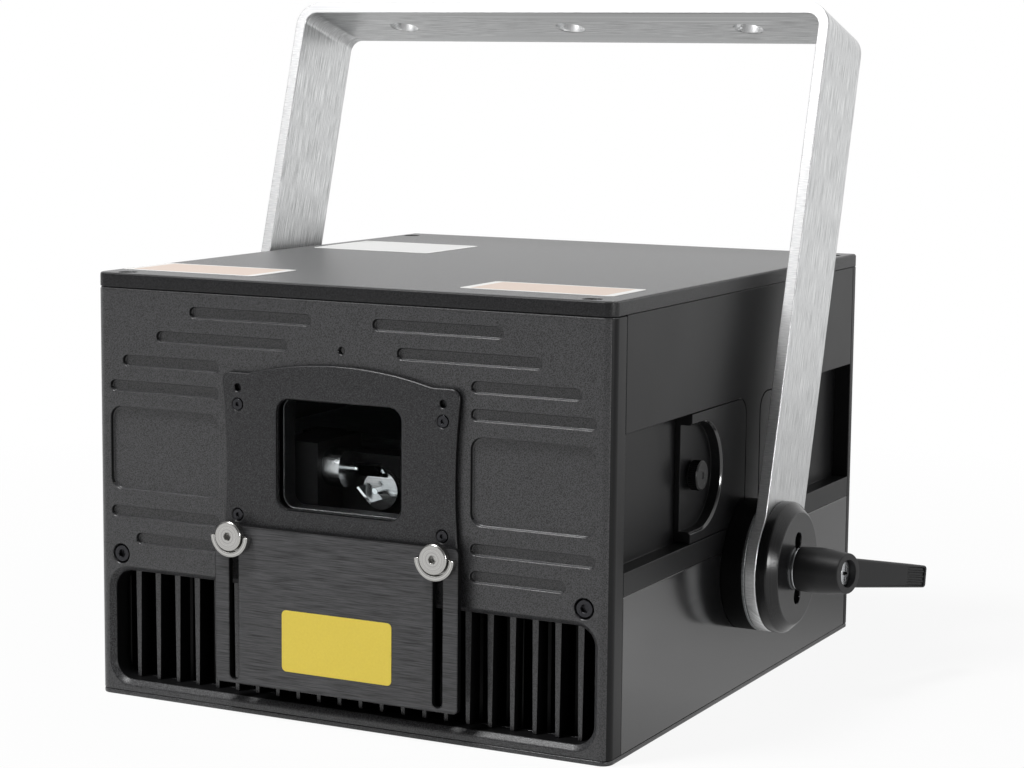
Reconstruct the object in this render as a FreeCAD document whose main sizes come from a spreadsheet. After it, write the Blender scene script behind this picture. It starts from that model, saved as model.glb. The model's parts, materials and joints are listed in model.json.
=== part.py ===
import FreeCAD, Part
import math
import os
import re
import Sketcher

# A compact laser show projector on a flat-bar yoke, as a parametric document.
# The origin is the middle of the base plate's underside. +X points right for someone who faces the
# front panel, the beam leaves the window along -Y, and +Z is up.

# The driving sizes, in millimetres, degrees and counts
SIZES = {
    # Case
    "case_width": 236,
    "case_depth": 270,
    "case_height": 178,
    "base_thick": 2,
    "lid_thick": 6,
    "front_thick": 11.5,
    "rear_thick": 4,
    "edge_round": 4.5,
    "edge_break": 0.6,
    "screw_clear": 0.05,
    # Side panels, their recess, the column in it and the blocks beside the column
    "upper_wall": 12,
    "lower_wall": 8,
    "split_height": 64,
    "recess_depth": 7.5,
    "recess_bottom": 73.2,
    "recess_top": 126.6,
    "recess_round": 8,
    "column_front": 0,
    "column_width": 15.6,
    "block_length": 58.9,
    "block_gap": 0.35,
    "pocket_depth": 5,
    "pocket_radius": 21.75,
    "pocket_reach": 10.9,
    "pocket_bevel": 0.9,
    # Knobs of the side blocks
    "knob_radius": 6.2,
    "knob_head": 4.4,
    "knob_neck": 1,
    "knob_neck_radius": 4.5,
    "knob_thread_radius": 2,
    "knob_thread": 5,
    "knob_bevel": 0.5,
    # Decorative slots and badge recesses of the front panel
    "slot_height": 4.5,
    "slot_depth": 1.7,
    "slot_pitch": 10.75,
    "upper_slots_drop": 8.5,
    "lower_slots_top": 78.6,
    "first_slot_inner": 14.1,
    "first_slot_outer": 71.7,
    "second_slot_inner": 25.1,
    "second_slot_outer": 88,
    "side_slot_inner": 57.9,
    "third_slot_outer": 104.8,
    "long_slot_outer": 111.2,
    "last_slot_outer": 98.9,
    "badge_bottom": 88,
    "badge_height": 34.6,
    "badge_round": 5,
    # Emission light and front panel screws
    "light_height": 152.3,
    "light_radius": 1.5,
    "light_length": 8,
    "light_recess": 1.5,
    "corner_screw_x": 106.8,
    "corner_screw_z": 60.5,
    "corner_screw_reach": 10,
    "cap_screw_radius": 2,
    "cap_head_radius": 3.5,
    "cap_head": 4,
    "cap_sink": 0.5,
    "cap_bore_clear": 0.65,
    "cap_socket_radius": 1.73,
    "cap_socket": 2,
    # Lid screws
    "lid_screw_x": 106,
    "lid_screw_inset": 5.8,
    "lid_screw_rear_x": 111.5,
    "lid_screw_rear_y": 120,
    "lid_screw_reach": 8,
    "lid_head": 2.6,
    "lid_sink": 0.4,
    # Air intake grille
    "grille_half_width": 110.8,
    "grille_bottom": 6.8,
    "grille_height": 46.5,
    "grille_round": 8,
    "grille_chamfer": 2.2,
    "grille_flange": 2,
    "rail_height": 2.4,
    "rail_inset": 1.8,
    "bar_count": 22,
    "bar_pitch": 9.79,
    "bar_width": 2.8,
    "bar_low_width": 1.8,
    "bar_inset": 6.8,
    "bar_end_gap": 0.15,
    # Window plate and glass
    "plate_thick": 2.8,
    "plate_half_width": 54.5,
    "plate_bottom": 67,
    "plate_shoulder": 141,
    "plate_corner": 4,
    "plate_waist": 2,
    "arch_half_width": 42,
    "arch_rise": 5.4,
    "window_half_width": 28.3,
    "window_rise": 5.4,
    "window_height": 44.2,
    "window_round": 5,
    "glass_thick": 3,
    "glass_margin": 4,
    "glass_clear": 0.2,
    "window_screw_x": 47,
    "window_screw_rise": 16,
    "window_screw_drop": 12.9,
    "spare_hole_drop": 6.1,
    "window_screw_radius": 1.5,
    "window_screw_reach": 6,
    "window_head_radius": 2.3,
    "window_head": 1.5,
    "window_head_clear": 0.2,
    "window_socket_radius": 0.95,
    "window_socket": 1,
    # Shutter plate with its clamp screws and saddles
    "shutter_half_width": 56,
    "shutter_bottom": 13.9,
    "shutter_height": 65.3,
    "shutter_thick": 3,
    "shutter_round": 2,
    "shutter_gap": 0.3,
    "shutter_slot_width": 4.3,
    "shutter_slot_margin": 1.75,
    "clamp_x": 47,
    "clamp_radius": 2,
    "clamp_reach": 7,
    "clamp_head_radius": 6.1,
    "clamp_head": 3.5,
    "clamp_bevel": 0.5,
    "clamp_socket_radius": 1.73,
    "clamp_socket": 2.2,
    "saddle_outer": 8.7,
    "saddle_inner": 6.7,
    "saddle_base": 0.8,
    "saddle_wall": 2.3,
    # Yoke
    "axis_back": 2,
    "axis_height": 55,
    "yoke_gap": 128.5,
    "yoke_thick": 5,
    "yoke_width": 45,
    "yoke_reach": 240.7,
    "yoke_bend": 5.5,
    "yoke_tilt": 16.6,
    "eye_radius": 27.8,
    "eye_blend": 20,
    "yoke_hole_radius": 6.75,
    "yoke_hole_pitch": 87.5,
    # Hub of the yoke: spacer, washer, stud and outer disc
    "stud_radius": 4,
    "stud_clear": 0.05,
    "slide_gap": 0.05,
    "washer_thick": 1.2,
    "disc_rim": 4.4,
    "disc_bevel": 4,
    "disc_pin_radius": 3.6,
    "disc_pin_reach": 11.7,
    "disc_pin_depth": 5,
    # Clamp lever: steel insert, plastic handle and screw
    "flange_radius": 9.1,
    "flange_thick": 1,
    "hex_radius": 6.9,
    "hex_length": 2.8,
    "hex_clear": 0.15,
    "core_radius": 5,
    "core_clear": 0.15,
    "insert_length": 14,
    "stud_bore": 8,
    "handle_length": 22.4,
    "handle_base_radius": 9.4,
    "handle_belly_radius": 9.8,
    "handle_belly": 10,
    "handle_end_radius": 8.3,
    "handle_slant": 13,
    "handle_web": 2,
    "handle_web_bore": 2.7,
    "handle_recess_radius": 5.8,
    "arm_start": 11.5,
    "arm_length": 62.5,
    "arm_angle": 22,
    "arm_root_height": 13.2,
    "arm_tip_height": 9.6,
    "arm_tip_round": 1.4,
    "arm_depth": 9,
    "arm_bevel": 0.7,
    "rib_count": 4,
    "rib_pitch": 2.1,
    "rib_width": 1.1,
    "rib_depth": 0.25,
    "rib_length": 11,
    "rib_inset": 2,
    "lever_drop": 10,
    "lever_lift": 3,
    "lever_screw_radius": 2.5,
    "lever_screw_reach": 5,
    "lever_head_radius": 5,
    "lever_head": 1.8,
    "cross_width": 1.2,
    "cross_length": 6.4,
    "cross_depth": 0.9,
    # Optical deck and heatsink
    "deck_thick": 8,
    "deck_back": 112,
    "sink_base": 6,
    "sink_front": 117,
    "sink_back": 106,
    "sink_foot": 2.5,
    "fin_count": 33,
    "fin_pitch": 6,
    "fin_thick": 1.5,
    # Scanner
    "scan_wall_left": 40,
    "scan_wall_right": 20,
    "scan_front": 120,
    "scan_back": 85,
    "scan_wall_top": 112,
    "scan_back_wall": 15,
    "scan_back_end": 22,
    "scan_back_top": 106,
    "galvo_radius": 8,
    "galvo_clear": 0.05,
    "galvo_length": 46,
    "galvo_bore": 6,
    "scan_shaft_radius": 1.5,
    "scan_shaft_clear": 0.05,
    "scan_shaft": 4,
    "mirror_thick": 1,
    "mirror_turn": 45,
    "horizontal_axis_y": 109,
    "horizontal_axis_z": 101,
    "horizontal_face": 12,
    "horizontal_mirror_length": 13,
    "horizontal_mirror_width": 7.6,
    "vertical_axis_x": 0,
    "vertical_axis_z": 92,
    "vertical_face": 104,
    "vertical_mirror_length": 9,
    "vertical_mirror_width": 8.6,
    # Laser module, beam mirror, power supply and control board
    "laser_x": 40,
    "laser_width": 90,
    "laser_front": 46,
    "laser_length": 106,
    "laser_height": 48,
    "laser_snout_radius": 5,
    "laser_snout": 5,
    "laser_beam_height": 28,
    "mount_x": 50,
    "mount_y": 64,
    "mount_width": 16,
    "mount_depth": 12,
    "mount_height": 44,
    "beam_mirror_size": 13,
    "beam_mirror_thick": 2,
    "supply_x": 62,
    "supply_width": 75,
    "supply_y": 34,
    "supply_length": 148,
    "supply_height": 38,
    "board_x": 40,
    "board_width": 90,
    "board_y": 88,
    "board_length": 40,
    "board_thick": 1.6,
    "standoff_height": 6,
    "standoff_radius": 3,
    "standoff_inset": 4,
    "chip_size": 18,
    "chip_height": 3,
    "terminal_width": 40,
    "terminal_depth": 9,
    "terminal_height": 11,
    # Fans
    "fan_x": 55,
    "fan_size": 60,
    "fan_thick": 15,
    "fan_bore_radius": 28,
    "fan_hub_radius": 13,
    "fan_hub_plate": 2.5,
    "fan_strut": 3,
    "rotor_radius": 26.5,
    "rotor_hub_radius": 12.5,
    "rotor_length": 10,
    "rotor_gap": 1,
    "blade_count": 7,
    "blade_thick": 1.6,
    "blade_sweep": 7,
    "axle_radius": 1.5,
    "axle_clear": 0.05,
    "axle_reach": 2,
    "outlet_slot_height": 4,
    "outlet_slot_pitch": 7.5,
    "outlet_radius": 27,
    # Rear connectors and key switch
    "rear_row_drop": 32,
    "inlet_x": 80,
    "inlet_width": 31,
    "inlet_height": 31,
    "inlet_flange": 2.5,
    "inlet_body_radius": 12,
    "inlet_body_length": 24,
    "inlet_socket_radius": 9.5,
    "inlet_socket_depth": 14,
    "fit_clear": 0.1,
    "show_plate_width": 53,
    "show_plate_height": 12.5,
    "show_plate": 1.2,
    "show_shell_width": 38.5,
    "show_shell_height": 8.4,
    "show_shell": 5.8,
    "show_shell_round": 2,
    "show_body_length": 10,
    "key_x": 80,
    "key_bezel_radius": 11,
    "key_bezel": 3,
    "key_body_radius": 9.4,
    "key_body_length": 20,
    "barrel_radius": 6,
    "barrel_clear": 0.1,
    "barrel_length": 12,
    "barrel_proud": 1,
    "keyway_width": 2,
    "keyway_height": 7,
    "keyway_depth": 6,
}

doc = FreeCAD.newDocument("laser_projector")
sheet = doc.addObject("Spreadsheet::Sheet", "Sizes")
for row, (name, size) in enumerate(SIZES.items(), start=1):
    sheet.set(f"A{row}", name)
    sheet.set(f"B{row}", str(size))
    sheet.setAlias(f"B{row}", name)
doc.recompute()

NODES = []
# Edges this close to a plane, in millimetres, count as lying in it
NEAR = 1e-3
TURN_TO = {
    "x": FreeCAD.Rotation(FreeCAD.Vector(0, 1, 0), 90),
    "y": FreeCAD.Rotation(FreeCAD.Vector(1, 0, 0), -90),
    "z": FreeCAD.Rotation(),
}

# Planes that several pieces share, as formulas
RIGHT = "(case_width / 2)"
FRONT = "(-case_depth / 2)"
REAR = "(case_depth / 2)"
FRONT_INNER = "(front_thick - case_depth / 2)"
REAR_INNER = "(case_depth / 2 - rear_thick)"
LID_UNDER = "(case_height - lid_thick)"
COLUMN_BACK = "(column_front + column_width)"
BLOCK_FRONT = "(column_front - block_length)"
KNOB_Y = f"({BLOCK_FRONT} + pocket_reach)"
REAR_KNOB_Y = f"({COLUMN_BACK} + block_length - pocket_reach)"
POCKET_Z = "((recess_bottom + recess_top) / 2)"
KNOB_HOLE = "(knob_thread_radius + screw_clear)"
PLATE_FACE = f"({FRONT} - plate_thick)"
SHUTTER_BACK = f"({PLATE_FACE} - shutter_gap)"
SHUTTER_FACE = f"({SHUTTER_BACK} - shutter_thick)"
SADDLE_FACE = f"({SHUTTER_FACE} - shutter_gap - saddle_base)"
CLAMP_Z = "(shutter_bottom + shutter_height - shutter_slot_margin - shutter_slot_width / 2)"
WINDOW_BOTTOM = "((plate_bottom + plate_shoulder) / 2 + window_rise - window_height / 2)"
WINDOW_TOP = f"({WINDOW_BOTTOM} + window_height)"
WINDOW_SCREWS = ("(plate_bottom + window_screw_rise)", "(plate_shoulder - window_screw_drop)")
SPARE_HOLE_Z = "(plate_shoulder - spare_hole_drop)"
UPPER_SLOTS = f"({LID_UNDER} - upper_slots_drop)"
REAR_ROW = f"({LID_UNDER} - rear_row_drop)"
GRILLE_TOP = "(grille_bottom + grille_height)"
DISC_FACE = "(yoke_gap + yoke_thick + disc_rim + disc_bevel + slide_gap)"
STUD_HOLE = "(stud_radius + stud_clear)"
FAN_Z = "(base_thick + fan_size / 2)"
FAN_FRONT = f"({REAR_INNER} - fan_thick)"


def formula(text):
    """Put the sheet's name before each of its sizes in a formula."""
    return re.sub(r"[a-z_]+", lambda word: f"Sizes.{word[0]}" if word[0] in SIZES else word[0], text)


def number(text):
    """Work out a formula with the sizes in the sheet."""
    return float(sheet.evalExpression(formula(text)))


def bind(thing, **formulas):
    """Bind properties of an object to formulas."""
    for name, text in formulas.items():
        thing.setExpression(name, formula(text))
    return thing


def place(thing, x="0", y="0", z="0", axis="z"):
    """Bind the place of an object and point its own Z along an axis."""
    thing.Placement.Rotation = TURN_TO[axis]
    for letter, text in zip("xyz", (x, y, z)):
        thing.setExpression(f"Placement.Base.{letter}", formula(text))
    return thing


def turn(thing, axis, angle):
    """Bind a turn of an object about an axis through its own origin."""
    thing.Placement.Rotation = FreeCAD.Rotation(axis, 1)
    thing.setExpression("Placement.Rotation.Angle", formula(angle))
    return thing


def node(thing, label):
    """Keep an object as one sub-part of the projector."""
    thing.Label = label
    NODES.append(thing)
    return thing


def box(x, y, z, length, width, height):
    """A block from its least corner and its three sizes."""
    thing = bind(doc.addObject("Part::Box", "Block"), Length=length, Width=width, Height=height)
    return place(thing, x, y, z)


def rod(radius, length, axis, x="0", y="0", z="0"):
    """A cylinder that starts at a point and runs along an axis."""
    thing = bind(doc.addObject("Part::Cylinder", "Rod"), Radius=radius, Height=length)
    return place(thing, x, y, z, axis)


def taper(start_radius, end_radius, length, axis, x="0", y="0", z="0"):
    """A cone frustum that starts at a point and runs along an axis."""
    thing = doc.addObject("Part::Cone", "Taper")
    bind(thing, Radius1=start_radius, Radius2=end_radius, Height=length)
    return place(thing, x, y, z, axis)


def hexagon(radius, length, axis, x="0", y="0", z="0"):
    """A hexagonal bar, by the radius to its corners."""
    thing = doc.addObject("Part::Prism", "Hexagon")
    thing.Polygon = 6
    bind(thing, Circumradius=radius, Height=length)
    return place(thing, x, y, z, axis)


def fuse(*things):
    """One object from several that overlap or touch."""
    thing = doc.addObject("Part::MultiFuse", "Joined")
    thing.Shapes = list(things)
    return thing


def cut(base, *tools):
    """An object with others taken out of it."""
    thing = doc.addObject("Part::Cut", "Drilled")
    thing.Base = base
    thing.Tool = tools[0] if len(tools) == 1 else fuse(*tools)
    return thing


def group(*things):
    """Several identical pieces that stay separate solids."""
    thing = doc.addObject("Part::Compound", "Set")
    thing.Links = list(things)
    return thing


def mirror(source, axis="x", at="0"):
    """The mirror image of an object across a plane square to an axis."""
    thing = doc.addObject("Part::Mirroring", "Image")
    thing.Source = source
    thing.Normal = FreeCAD.Vector(*(letter == axis for letter in "xyz"))
    thing.setExpression(f"Base.{axis}", formula(at))
    return thing


def origin_part(body, role):
    """One of a body's own origin planes or axes."""
    return next(part for part in body.Origin.OriginFeatures if part.Role == role)


def new_body():
    return doc.addObject("PartDesign::Body", "Piece")


def sketch_on(body, plane, offset="0"):
    """A sketch on one of the body's origin planes, moved along its normal."""
    sketch = body.newObject("Sketcher::SketchObject", "Outline")
    sketch.AttachmentSupport = [(origin_part(body, plane), "")]
    sketch.MapMode = "FlatFace"
    sketch.setExpression("AttachmentOffset.Base.z", formula(offset))
    return sketch


def dimension(sketch, *sizes):
    """Add driving constraints to a sketch, each a formula and what it measures, and bind them."""
    rows = sketch.addConstraint([Sketcher.Constraint(*what, number(size)) for size, *what in sizes])
    for index, (size, *what) in zip(rows, sizes):
        sketch.setExpression(f"Constraints[{index}]", formula(size))


def place_of(line, point, x, y):
    """The two dimensions that hold a point of a sketch line at a place."""
    return [(x, "DistanceX", -1, 1, line, point), (y, "DistanceY", -1, 1, line, point)]


def circle(sketch, x, y, radius):
    centre = FreeCAD.Vector(number(x), number(y), 0)
    line = sketch.addGeometry(Part.Circle(centre, FreeCAD.Vector(0, 0, 1), number(radius)), False)
    dimension(sketch, *place_of(line, 3, x, y), (radius, "Radius", line))


def arc_between(start, end, radius, left):
    """The short arc of a radius between two points, turning left or right on the way."""
    along = end - start
    middle = (start + end) / 2
    rise = math.sqrt(max(radius ** 2 - along.Length ** 2 / 4, 0))
    side = FreeCAD.Vector(-along.y, along.x, 0).normalize()
    centre = middle + side * (rise if left else -rise)
    first, last = (start, end) if left else (end, start)
    angles = [math.atan2(point.y - centre.y, point.x - centre.x) for point in (first, last)]
    if angles[1] < angles[0]:
        angles[1] += 2 * math.pi
    return Part.ArcOfCircle(Part.Circle(centre, FreeCAD.Vector(0, 0, 1), radius), *angles)


def outline(sketch, *corners):
    """Close a line round corners (x, y, bend).

    The bend is empty for a straight run to the next corner, or the radius of an arc that turns
    left there; a minus sign before it makes the arc turn right.
    """
    points = [FreeCAD.Vector(number(x), number(y), 0) for x, y, bend in corners]
    pieces = []
    for index, (x, y, bend) in enumerate(corners):
        start, end = points[index], points[(index + 1) % len(points)]
        if bend:
            pieces.append(arc_between(start, end, number(bend.lstrip("-")), not bend.startswith("-")))
        else:
            pieces.append(Part.LineSegment(start, end))
    lines = sketch.addGeometry(pieces, False)
    sizes = []
    joints = []
    for index, (line, (x, y, bend)) in enumerate(zip(lines, corners)):
        after = (index + 1) % len(lines)
        first, last = (2, 1) if bend.startswith("-") else (1, 2)
        next_first = 2 if corners[after][2].startswith("-") else 1
        joints.append(Sketcher.Constraint("Coincident", line, last, lines[after], next_first))
        sizes += place_of(line, first, x, y)
        if bend:
            sizes.append((bend.lstrip("-"), "Radius", line))
    sketch.addConstraint(joints)
    dimension(sketch, *sizes)


def rectangle(sketch, left, right, bottom, top):
    outline(sketch, (left, bottom, ""), (right, bottom, ""), (right, top, ""), (left, top, ""))


def rounded_rectangle(sketch, left, right, bottom, top, radius):
    outline(
        sketch,
        (f"{left} + {radius}", bottom, ""),
        (f"{right} - {radius}", bottom, radius),
        (right, f"{bottom} + {radius}", ""),
        (right, f"{top} - {radius}", radius),
        (f"{right} - {radius}", top, ""),
        (f"{left} + {radius}", top, radius),
        (left, f"{top} - {radius}", ""),
        (left, f"{bottom} + {radius}", radius),
    )


def slot(sketch, left, right, height, width):
    """A level slot with round ends, each drawn as two quarter arcs."""
    half = f"({width} / 2)"
    outline(
        sketch,
        (f"{left} + {half}", f"{height} - {half}", ""),
        (f"{right} - {half}", f"{height} - {half}", half),
        (right, height, half),
        (f"{right} - {half}", f"{height} + {half}", ""),
        (f"{left} + {half}", f"{height} + {half}", half),
        (left, height, half),
    )


def upright_slot(sketch, x, bottom, top, width):
    """An upright slot with round ends, each drawn as two quarter arcs."""
    half = f"({width} / 2)"
    outline(
        sketch,
        (f"{x} + {half}", f"{bottom} + {half}", ""),
        (f"{x} + {half}", f"{top} - {half}", half),
        (x, top, half),
        (f"{x} - {half}", f"{top} - {half}", ""),
        (f"{x} - {half}", f"{bottom} + {half}", half),
        (x, bottom, half),
    )


def pad(body, sketch, length):
    feature = body.newObject("PartDesign::Pad", "Pad")
    feature.Profile = sketch
    return bind(feature, Length=length)


def pocket(body, sketch, depth=None):
    """Cut a sketch into the body against its normal, to a depth or right through."""
    feature = body.newObject("PartDesign::Pocket", "Pocket")
    feature.Profile = sketch
    if depth is None:
        feature.Type = "ThroughAll"
    else:
        bind(feature, Length=depth)
    return feature


def pattern(body, kind, features, **settings):
    """Repeat features of a body and make the result the body's tip."""
    copies = body.newObject(f"PartDesign::{kind}", kind)
    copies.Originals = features
    for name, setting in settings.items():
        setattr(copies, name, setting)
    body.Tip = copies
    return copies


def mirror_in_body(body, features):
    """Repeat features of a body on the other side of its YZ plane."""
    return pattern(body, "Mirrored", features, MirrorPlane=(origin_part(body, "YZ_Plane"), [""]))


def edges_in(shape, test):
    """Names of a shape's edges whose box passes a test."""
    return [f"Edge{index}" for index, edge in enumerate(shape.Edges, start=1) if test(edge.BoundBox)]


def bevel(body, test, size):
    """Chamfer the edges of a body whose box passes a test."""
    doc.recompute()
    base = body.Tip
    feature = body.newObject("PartDesign::Chamfer", "Bevel")
    feature.Base = (base, edges_in(base.Shape, test))
    return bind(feature, Size=size)


def level(box_of_edge, axis, text):
    """Whether an edge lies in the plane where an axis has a value."""
    low = getattr(box_of_edge, f"{axis}Min")
    high = getattr(box_of_edge, f"{axis}Max")
    at = number(text)
    return math.isclose(low, at, abs_tol=NEAR) and math.isclose(high, at, abs_tol=NEAR)


def case_plan(sketch, back):
    """The case seen from above, with round front corners, back to a given plane."""
    outline(
        sketch,
        ("-case_width / 2 + edge_round", FRONT, ""),
        ("case_width / 2 - edge_round", FRONT, "edge_round"),
        ("case_width / 2", f"{FRONT} + edge_round", ""),
        ("case_width / 2", back, ""),
        ("-case_width / 2", back, ""),
        ("-case_width / 2", f"{FRONT} + edge_round", "edge_round"),
    )


def both_sides(draw, *sizes):
    """Call a drawing function with a distance and its mirror image."""
    for sign in ("", "-"):
        draw(*(size.replace("±", sign) for size in sizes))


# The base plate carries the whole case
def make_base_plate():
    body = new_body()
    sketch = sketch_on(body, "XY_Plane")
    case_plan(sketch, REAR)
    pad(body, sketch, "base_thick")
    node(body, "base_plate")


# The lid is one plate over the whole case with sunk screw holes and a broken top edge
def make_lid():
    body = new_body()
    sketch = sketch_on(body, "XY_Plane", LID_UNDER)
    case_plan(sketch, REAR)
    pad(body, sketch, "lid_thick")
    bevel(body, lambda edge: level(edge, "Z", "case_height"), "edge_break")
    heads = sketch_on(body, "XY_Plane", "case_height")
    shanks = sketch_on(body, "XY_Plane", "case_height")
    for x, y in lid_screw_places():
        circle(heads, x, y, "cap_head_radius + cap_bore_clear / 2")
        circle(shanks, x, y, "cap_screw_radius + screw_clear")
    pocket(body, heads, "lid_head + lid_sink")
    pocket(body, shanks)
    node(body, "lid")


def lid_screw_places():
    front_y = f"{FRONT} + lid_screw_inset"
    return [
        ("lid_screw_x", front_y),
        ("-lid_screw_x", front_y),
        ("lid_screw_rear_x", "lid_screw_rear_y"),
        ("-lid_screw_rear_x", "lid_screw_rear_y"),
    ]


def make_lid_screws():
    head_base = "case_height - lid_sink - lid_head"
    shank = "lid_thick - lid_sink - lid_head + lid_screw_reach"
    screws = []
    for x, y in lid_screw_places():
        solid = fuse(
            rod("cap_head_radius", "lid_head", "z", x, y, head_base),
            rod("cap_screw_radius", shank, "z", x, y, f"{head_base} - ({shank})"),
        )
        socket = hexagon("cap_socket_radius", "cap_socket", "z", x, y, "case_height - lid_sink - cap_socket")
        screws.append(cut(solid, socket))
    node(group(*screws), "lid_screws")


# The front panel is a thick milled plate that holds the window, the grille and the shutter
def make_front_panel():
    body = new_body()
    plan = sketch_on(body, "XY_Plane", "base_thick")
    case_plan(plan, FRONT_INNER)
    pad(body, plan, f"{LID_UNDER} - base_thick")
    face = f"-{FRONT}"
    cut_front_slots(body, face)
    grille = sketch_on(body, "XZ_Plane", face)
    rounded_rectangle(grille, "-grille_half_width", "grille_half_width", "grille_bottom", GRILLE_TOP,
                      "grille_round")
    pocket(body, grille)
    bevel(body, on_grille_mouth, "grille_chamfer")
    bevel(body, lambda edge: level(edge, "Z", LID_UNDER) and edge.YMax < number(FRONT_INNER) - NEAR,
          "edge_break")
    rebate = sketch_on(body, "XZ_Plane", face)
    window_shape(rebate, "glass_margin + glass_clear")
    pocket(body, rebate, "glass_thick")
    opening = sketch_on(body, "XZ_Plane", face)
    window_shape(opening, "0")
    pocket(body, opening)
    heads = sketch_on(body, "XZ_Plane", face)
    both_sides(lambda x: circle(heads, x, "corner_screw_z", "cap_head_radius + cap_bore_clear"),
               "±corner_screw_x")
    pocket(body, heads, "cap_head + cap_sink")
    bores = sketch_on(body, "XZ_Plane", face)
    both_sides(lambda x: circle(bores, x, "corner_screw_z", "cap_screw_radius + screw_clear"),
               "±corner_screw_x")
    both_sides(lambda x: circle(bores, x, CLAMP_Z, "clamp_radius + screw_clear"), "±clamp_x")
    circle(bores, "0", "light_height", "light_radius + screw_clear")
    for height in WINDOW_SCREWS:
        both_sides(lambda x: circle(bores, x, height, "window_screw_radius + screw_clear"),
                   "±window_screw_x")
    pocket(body, bores)
    tapped = sketch_on(body, "XY_Plane", LID_UNDER)
    both_sides(lambda x: circle(tapped, x, f"{FRONT} + lid_screw_inset", "cap_screw_radius + screw_clear"),
               "±lid_screw_x")
    pocket(body, tapped, "lid_screw_reach + cap_sink")
    node(body, "front_panel")


def cut_front_slots(body, face):
    """Shallow slots and a badge recess on the right, with their mirror images on the left."""
    upper = [
        ("first_slot_inner", "first_slot_outer"),
        ("second_slot_inner", "second_slot_outer"),
        ("side_slot_inner", "third_slot_outer"),
        ("side_slot_inner", "long_slot_outer"),
    ]
    lower = [("side_slot_inner", "long_slot_outer"), ("side_slot_inner", "last_slot_outer")]
    hollows = []
    for top, rows in ((UPPER_SLOTS, upper), ("lower_slots_top", lower)):
        for step, (inner, outer) in enumerate(rows):
            groove = sketch_on(body, "XZ_Plane", face)
            slot(groove, inner, outer, f"({top} - {step} * slot_pitch)", "slot_height")
            hollows.append(pocket(body, groove, "slot_depth"))
    badge = sketch_on(body, "XZ_Plane", face)
    rounded_rectangle(badge, "side_slot_inner", "long_slot_outer", "badge_bottom",
                      "(badge_bottom + badge_height)", "badge_round")
    hollows.append(pocket(body, badge, "slot_depth"))
    mirror_in_body(body, hollows)


def on_grille_mouth(edge):
    """Whether an edge belongs to the front rim of the grille opening."""
    inside = abs(edge.XMax) < number("grille_half_width") + NEAR and edge.ZMax < number(GRILLE_TOP) + NEAR
    return level(edge, "Y", FRONT) and inside and edge.ZMin > number("grille_bottom") - NEAR


def window_shape(sketch, margin):
    """The window's rounded rectangle, grown by a margin."""
    rounded_rectangle(sketch, f"-(window_half_width + {margin})", f"(window_half_width + {margin})",
                      f"({WINDOW_BOTTOM} - ({margin}))", f"({WINDOW_TOP} + {margin})", "window_round")


def make_front_panel_screws():
    screws = []
    head_back = f"{FRONT} + cap_sink + cap_head"
    for x in ("corner_screw_x", "-corner_screw_x"):
        solid = fuse(
            rod("cap_head_radius", "cap_head", "y", x, f"{FRONT} + cap_sink", "corner_screw_z"),
            rod("cap_screw_radius", "front_thick - cap_sink - cap_head + corner_screw_reach", "y", x,
                head_back, "corner_screw_z"),
        )
        socket = hexagon("cap_socket_radius", "cap_socket", "y", x, f"{FRONT} + cap_sink", "corner_screw_z")
        screws.append(cut(solid, socket))
    node(group(*screws), "front_panel_screws")


def make_emission_light():
    node(rod("light_radius", "light_length", "y", "0", f"{FRONT} + light_recess", "light_height"),
         "emission_light")


# The intake grille is two rails behind the front panel, joined by tapered bars that stand in its opening
def make_intake_grille():
    body = new_body()
    back = f"-({FRONT_INNER} + grille_flange)"
    first = "(-(bar_count - 1) / 2 * bar_pitch)"
    low, high = "grille_bottom + bar_end_gap", f"{GRILLE_TOP} - bar_end_gap"
    bar = sketch_on(body, "XZ_Plane", back)
    outline(
        bar,
        (f"{first} - bar_low_width / 2", low, ""),
        (f"{first} + bar_low_width / 2", low, ""),
        (f"{first} + bar_width / 2", high, ""),
        (f"{first} - bar_width / 2", high, ""),
    )
    bars = pad(body, bar, "front_thick - bar_inset + grille_flange")
    foot = sketch_on(body, "XZ_Plane", back)
    rectangle(foot, f"{first} - bar_low_width / 2", f"{first} + bar_low_width / 2",
              "grille_bottom - rail_height / 2", f"{GRILLE_TOP} + rail_height / 2")
    feet = pad(body, foot, "grille_flange")
    rails = sketch_on(body, "XZ_Plane", back)
    reach = "(grille_half_width - rail_inset)"
    rectangle(rails, f"-{reach}", reach, "grille_bottom - rail_height", "grille_bottom")
    rectangle(rails, f"-{reach}", reach, GRILLE_TOP, f"{GRILLE_TOP} + rail_height")
    pad(body, rails, "grille_flange")
    row = pattern(body, "LinearPattern", [bars, feet], Direction=(origin_part(body, "X_Axis"), [""]))
    bind(row, Length="(bar_count - 1) * bar_pitch", Occurrences="bar_count")
    node(body, "intake_grille")


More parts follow.
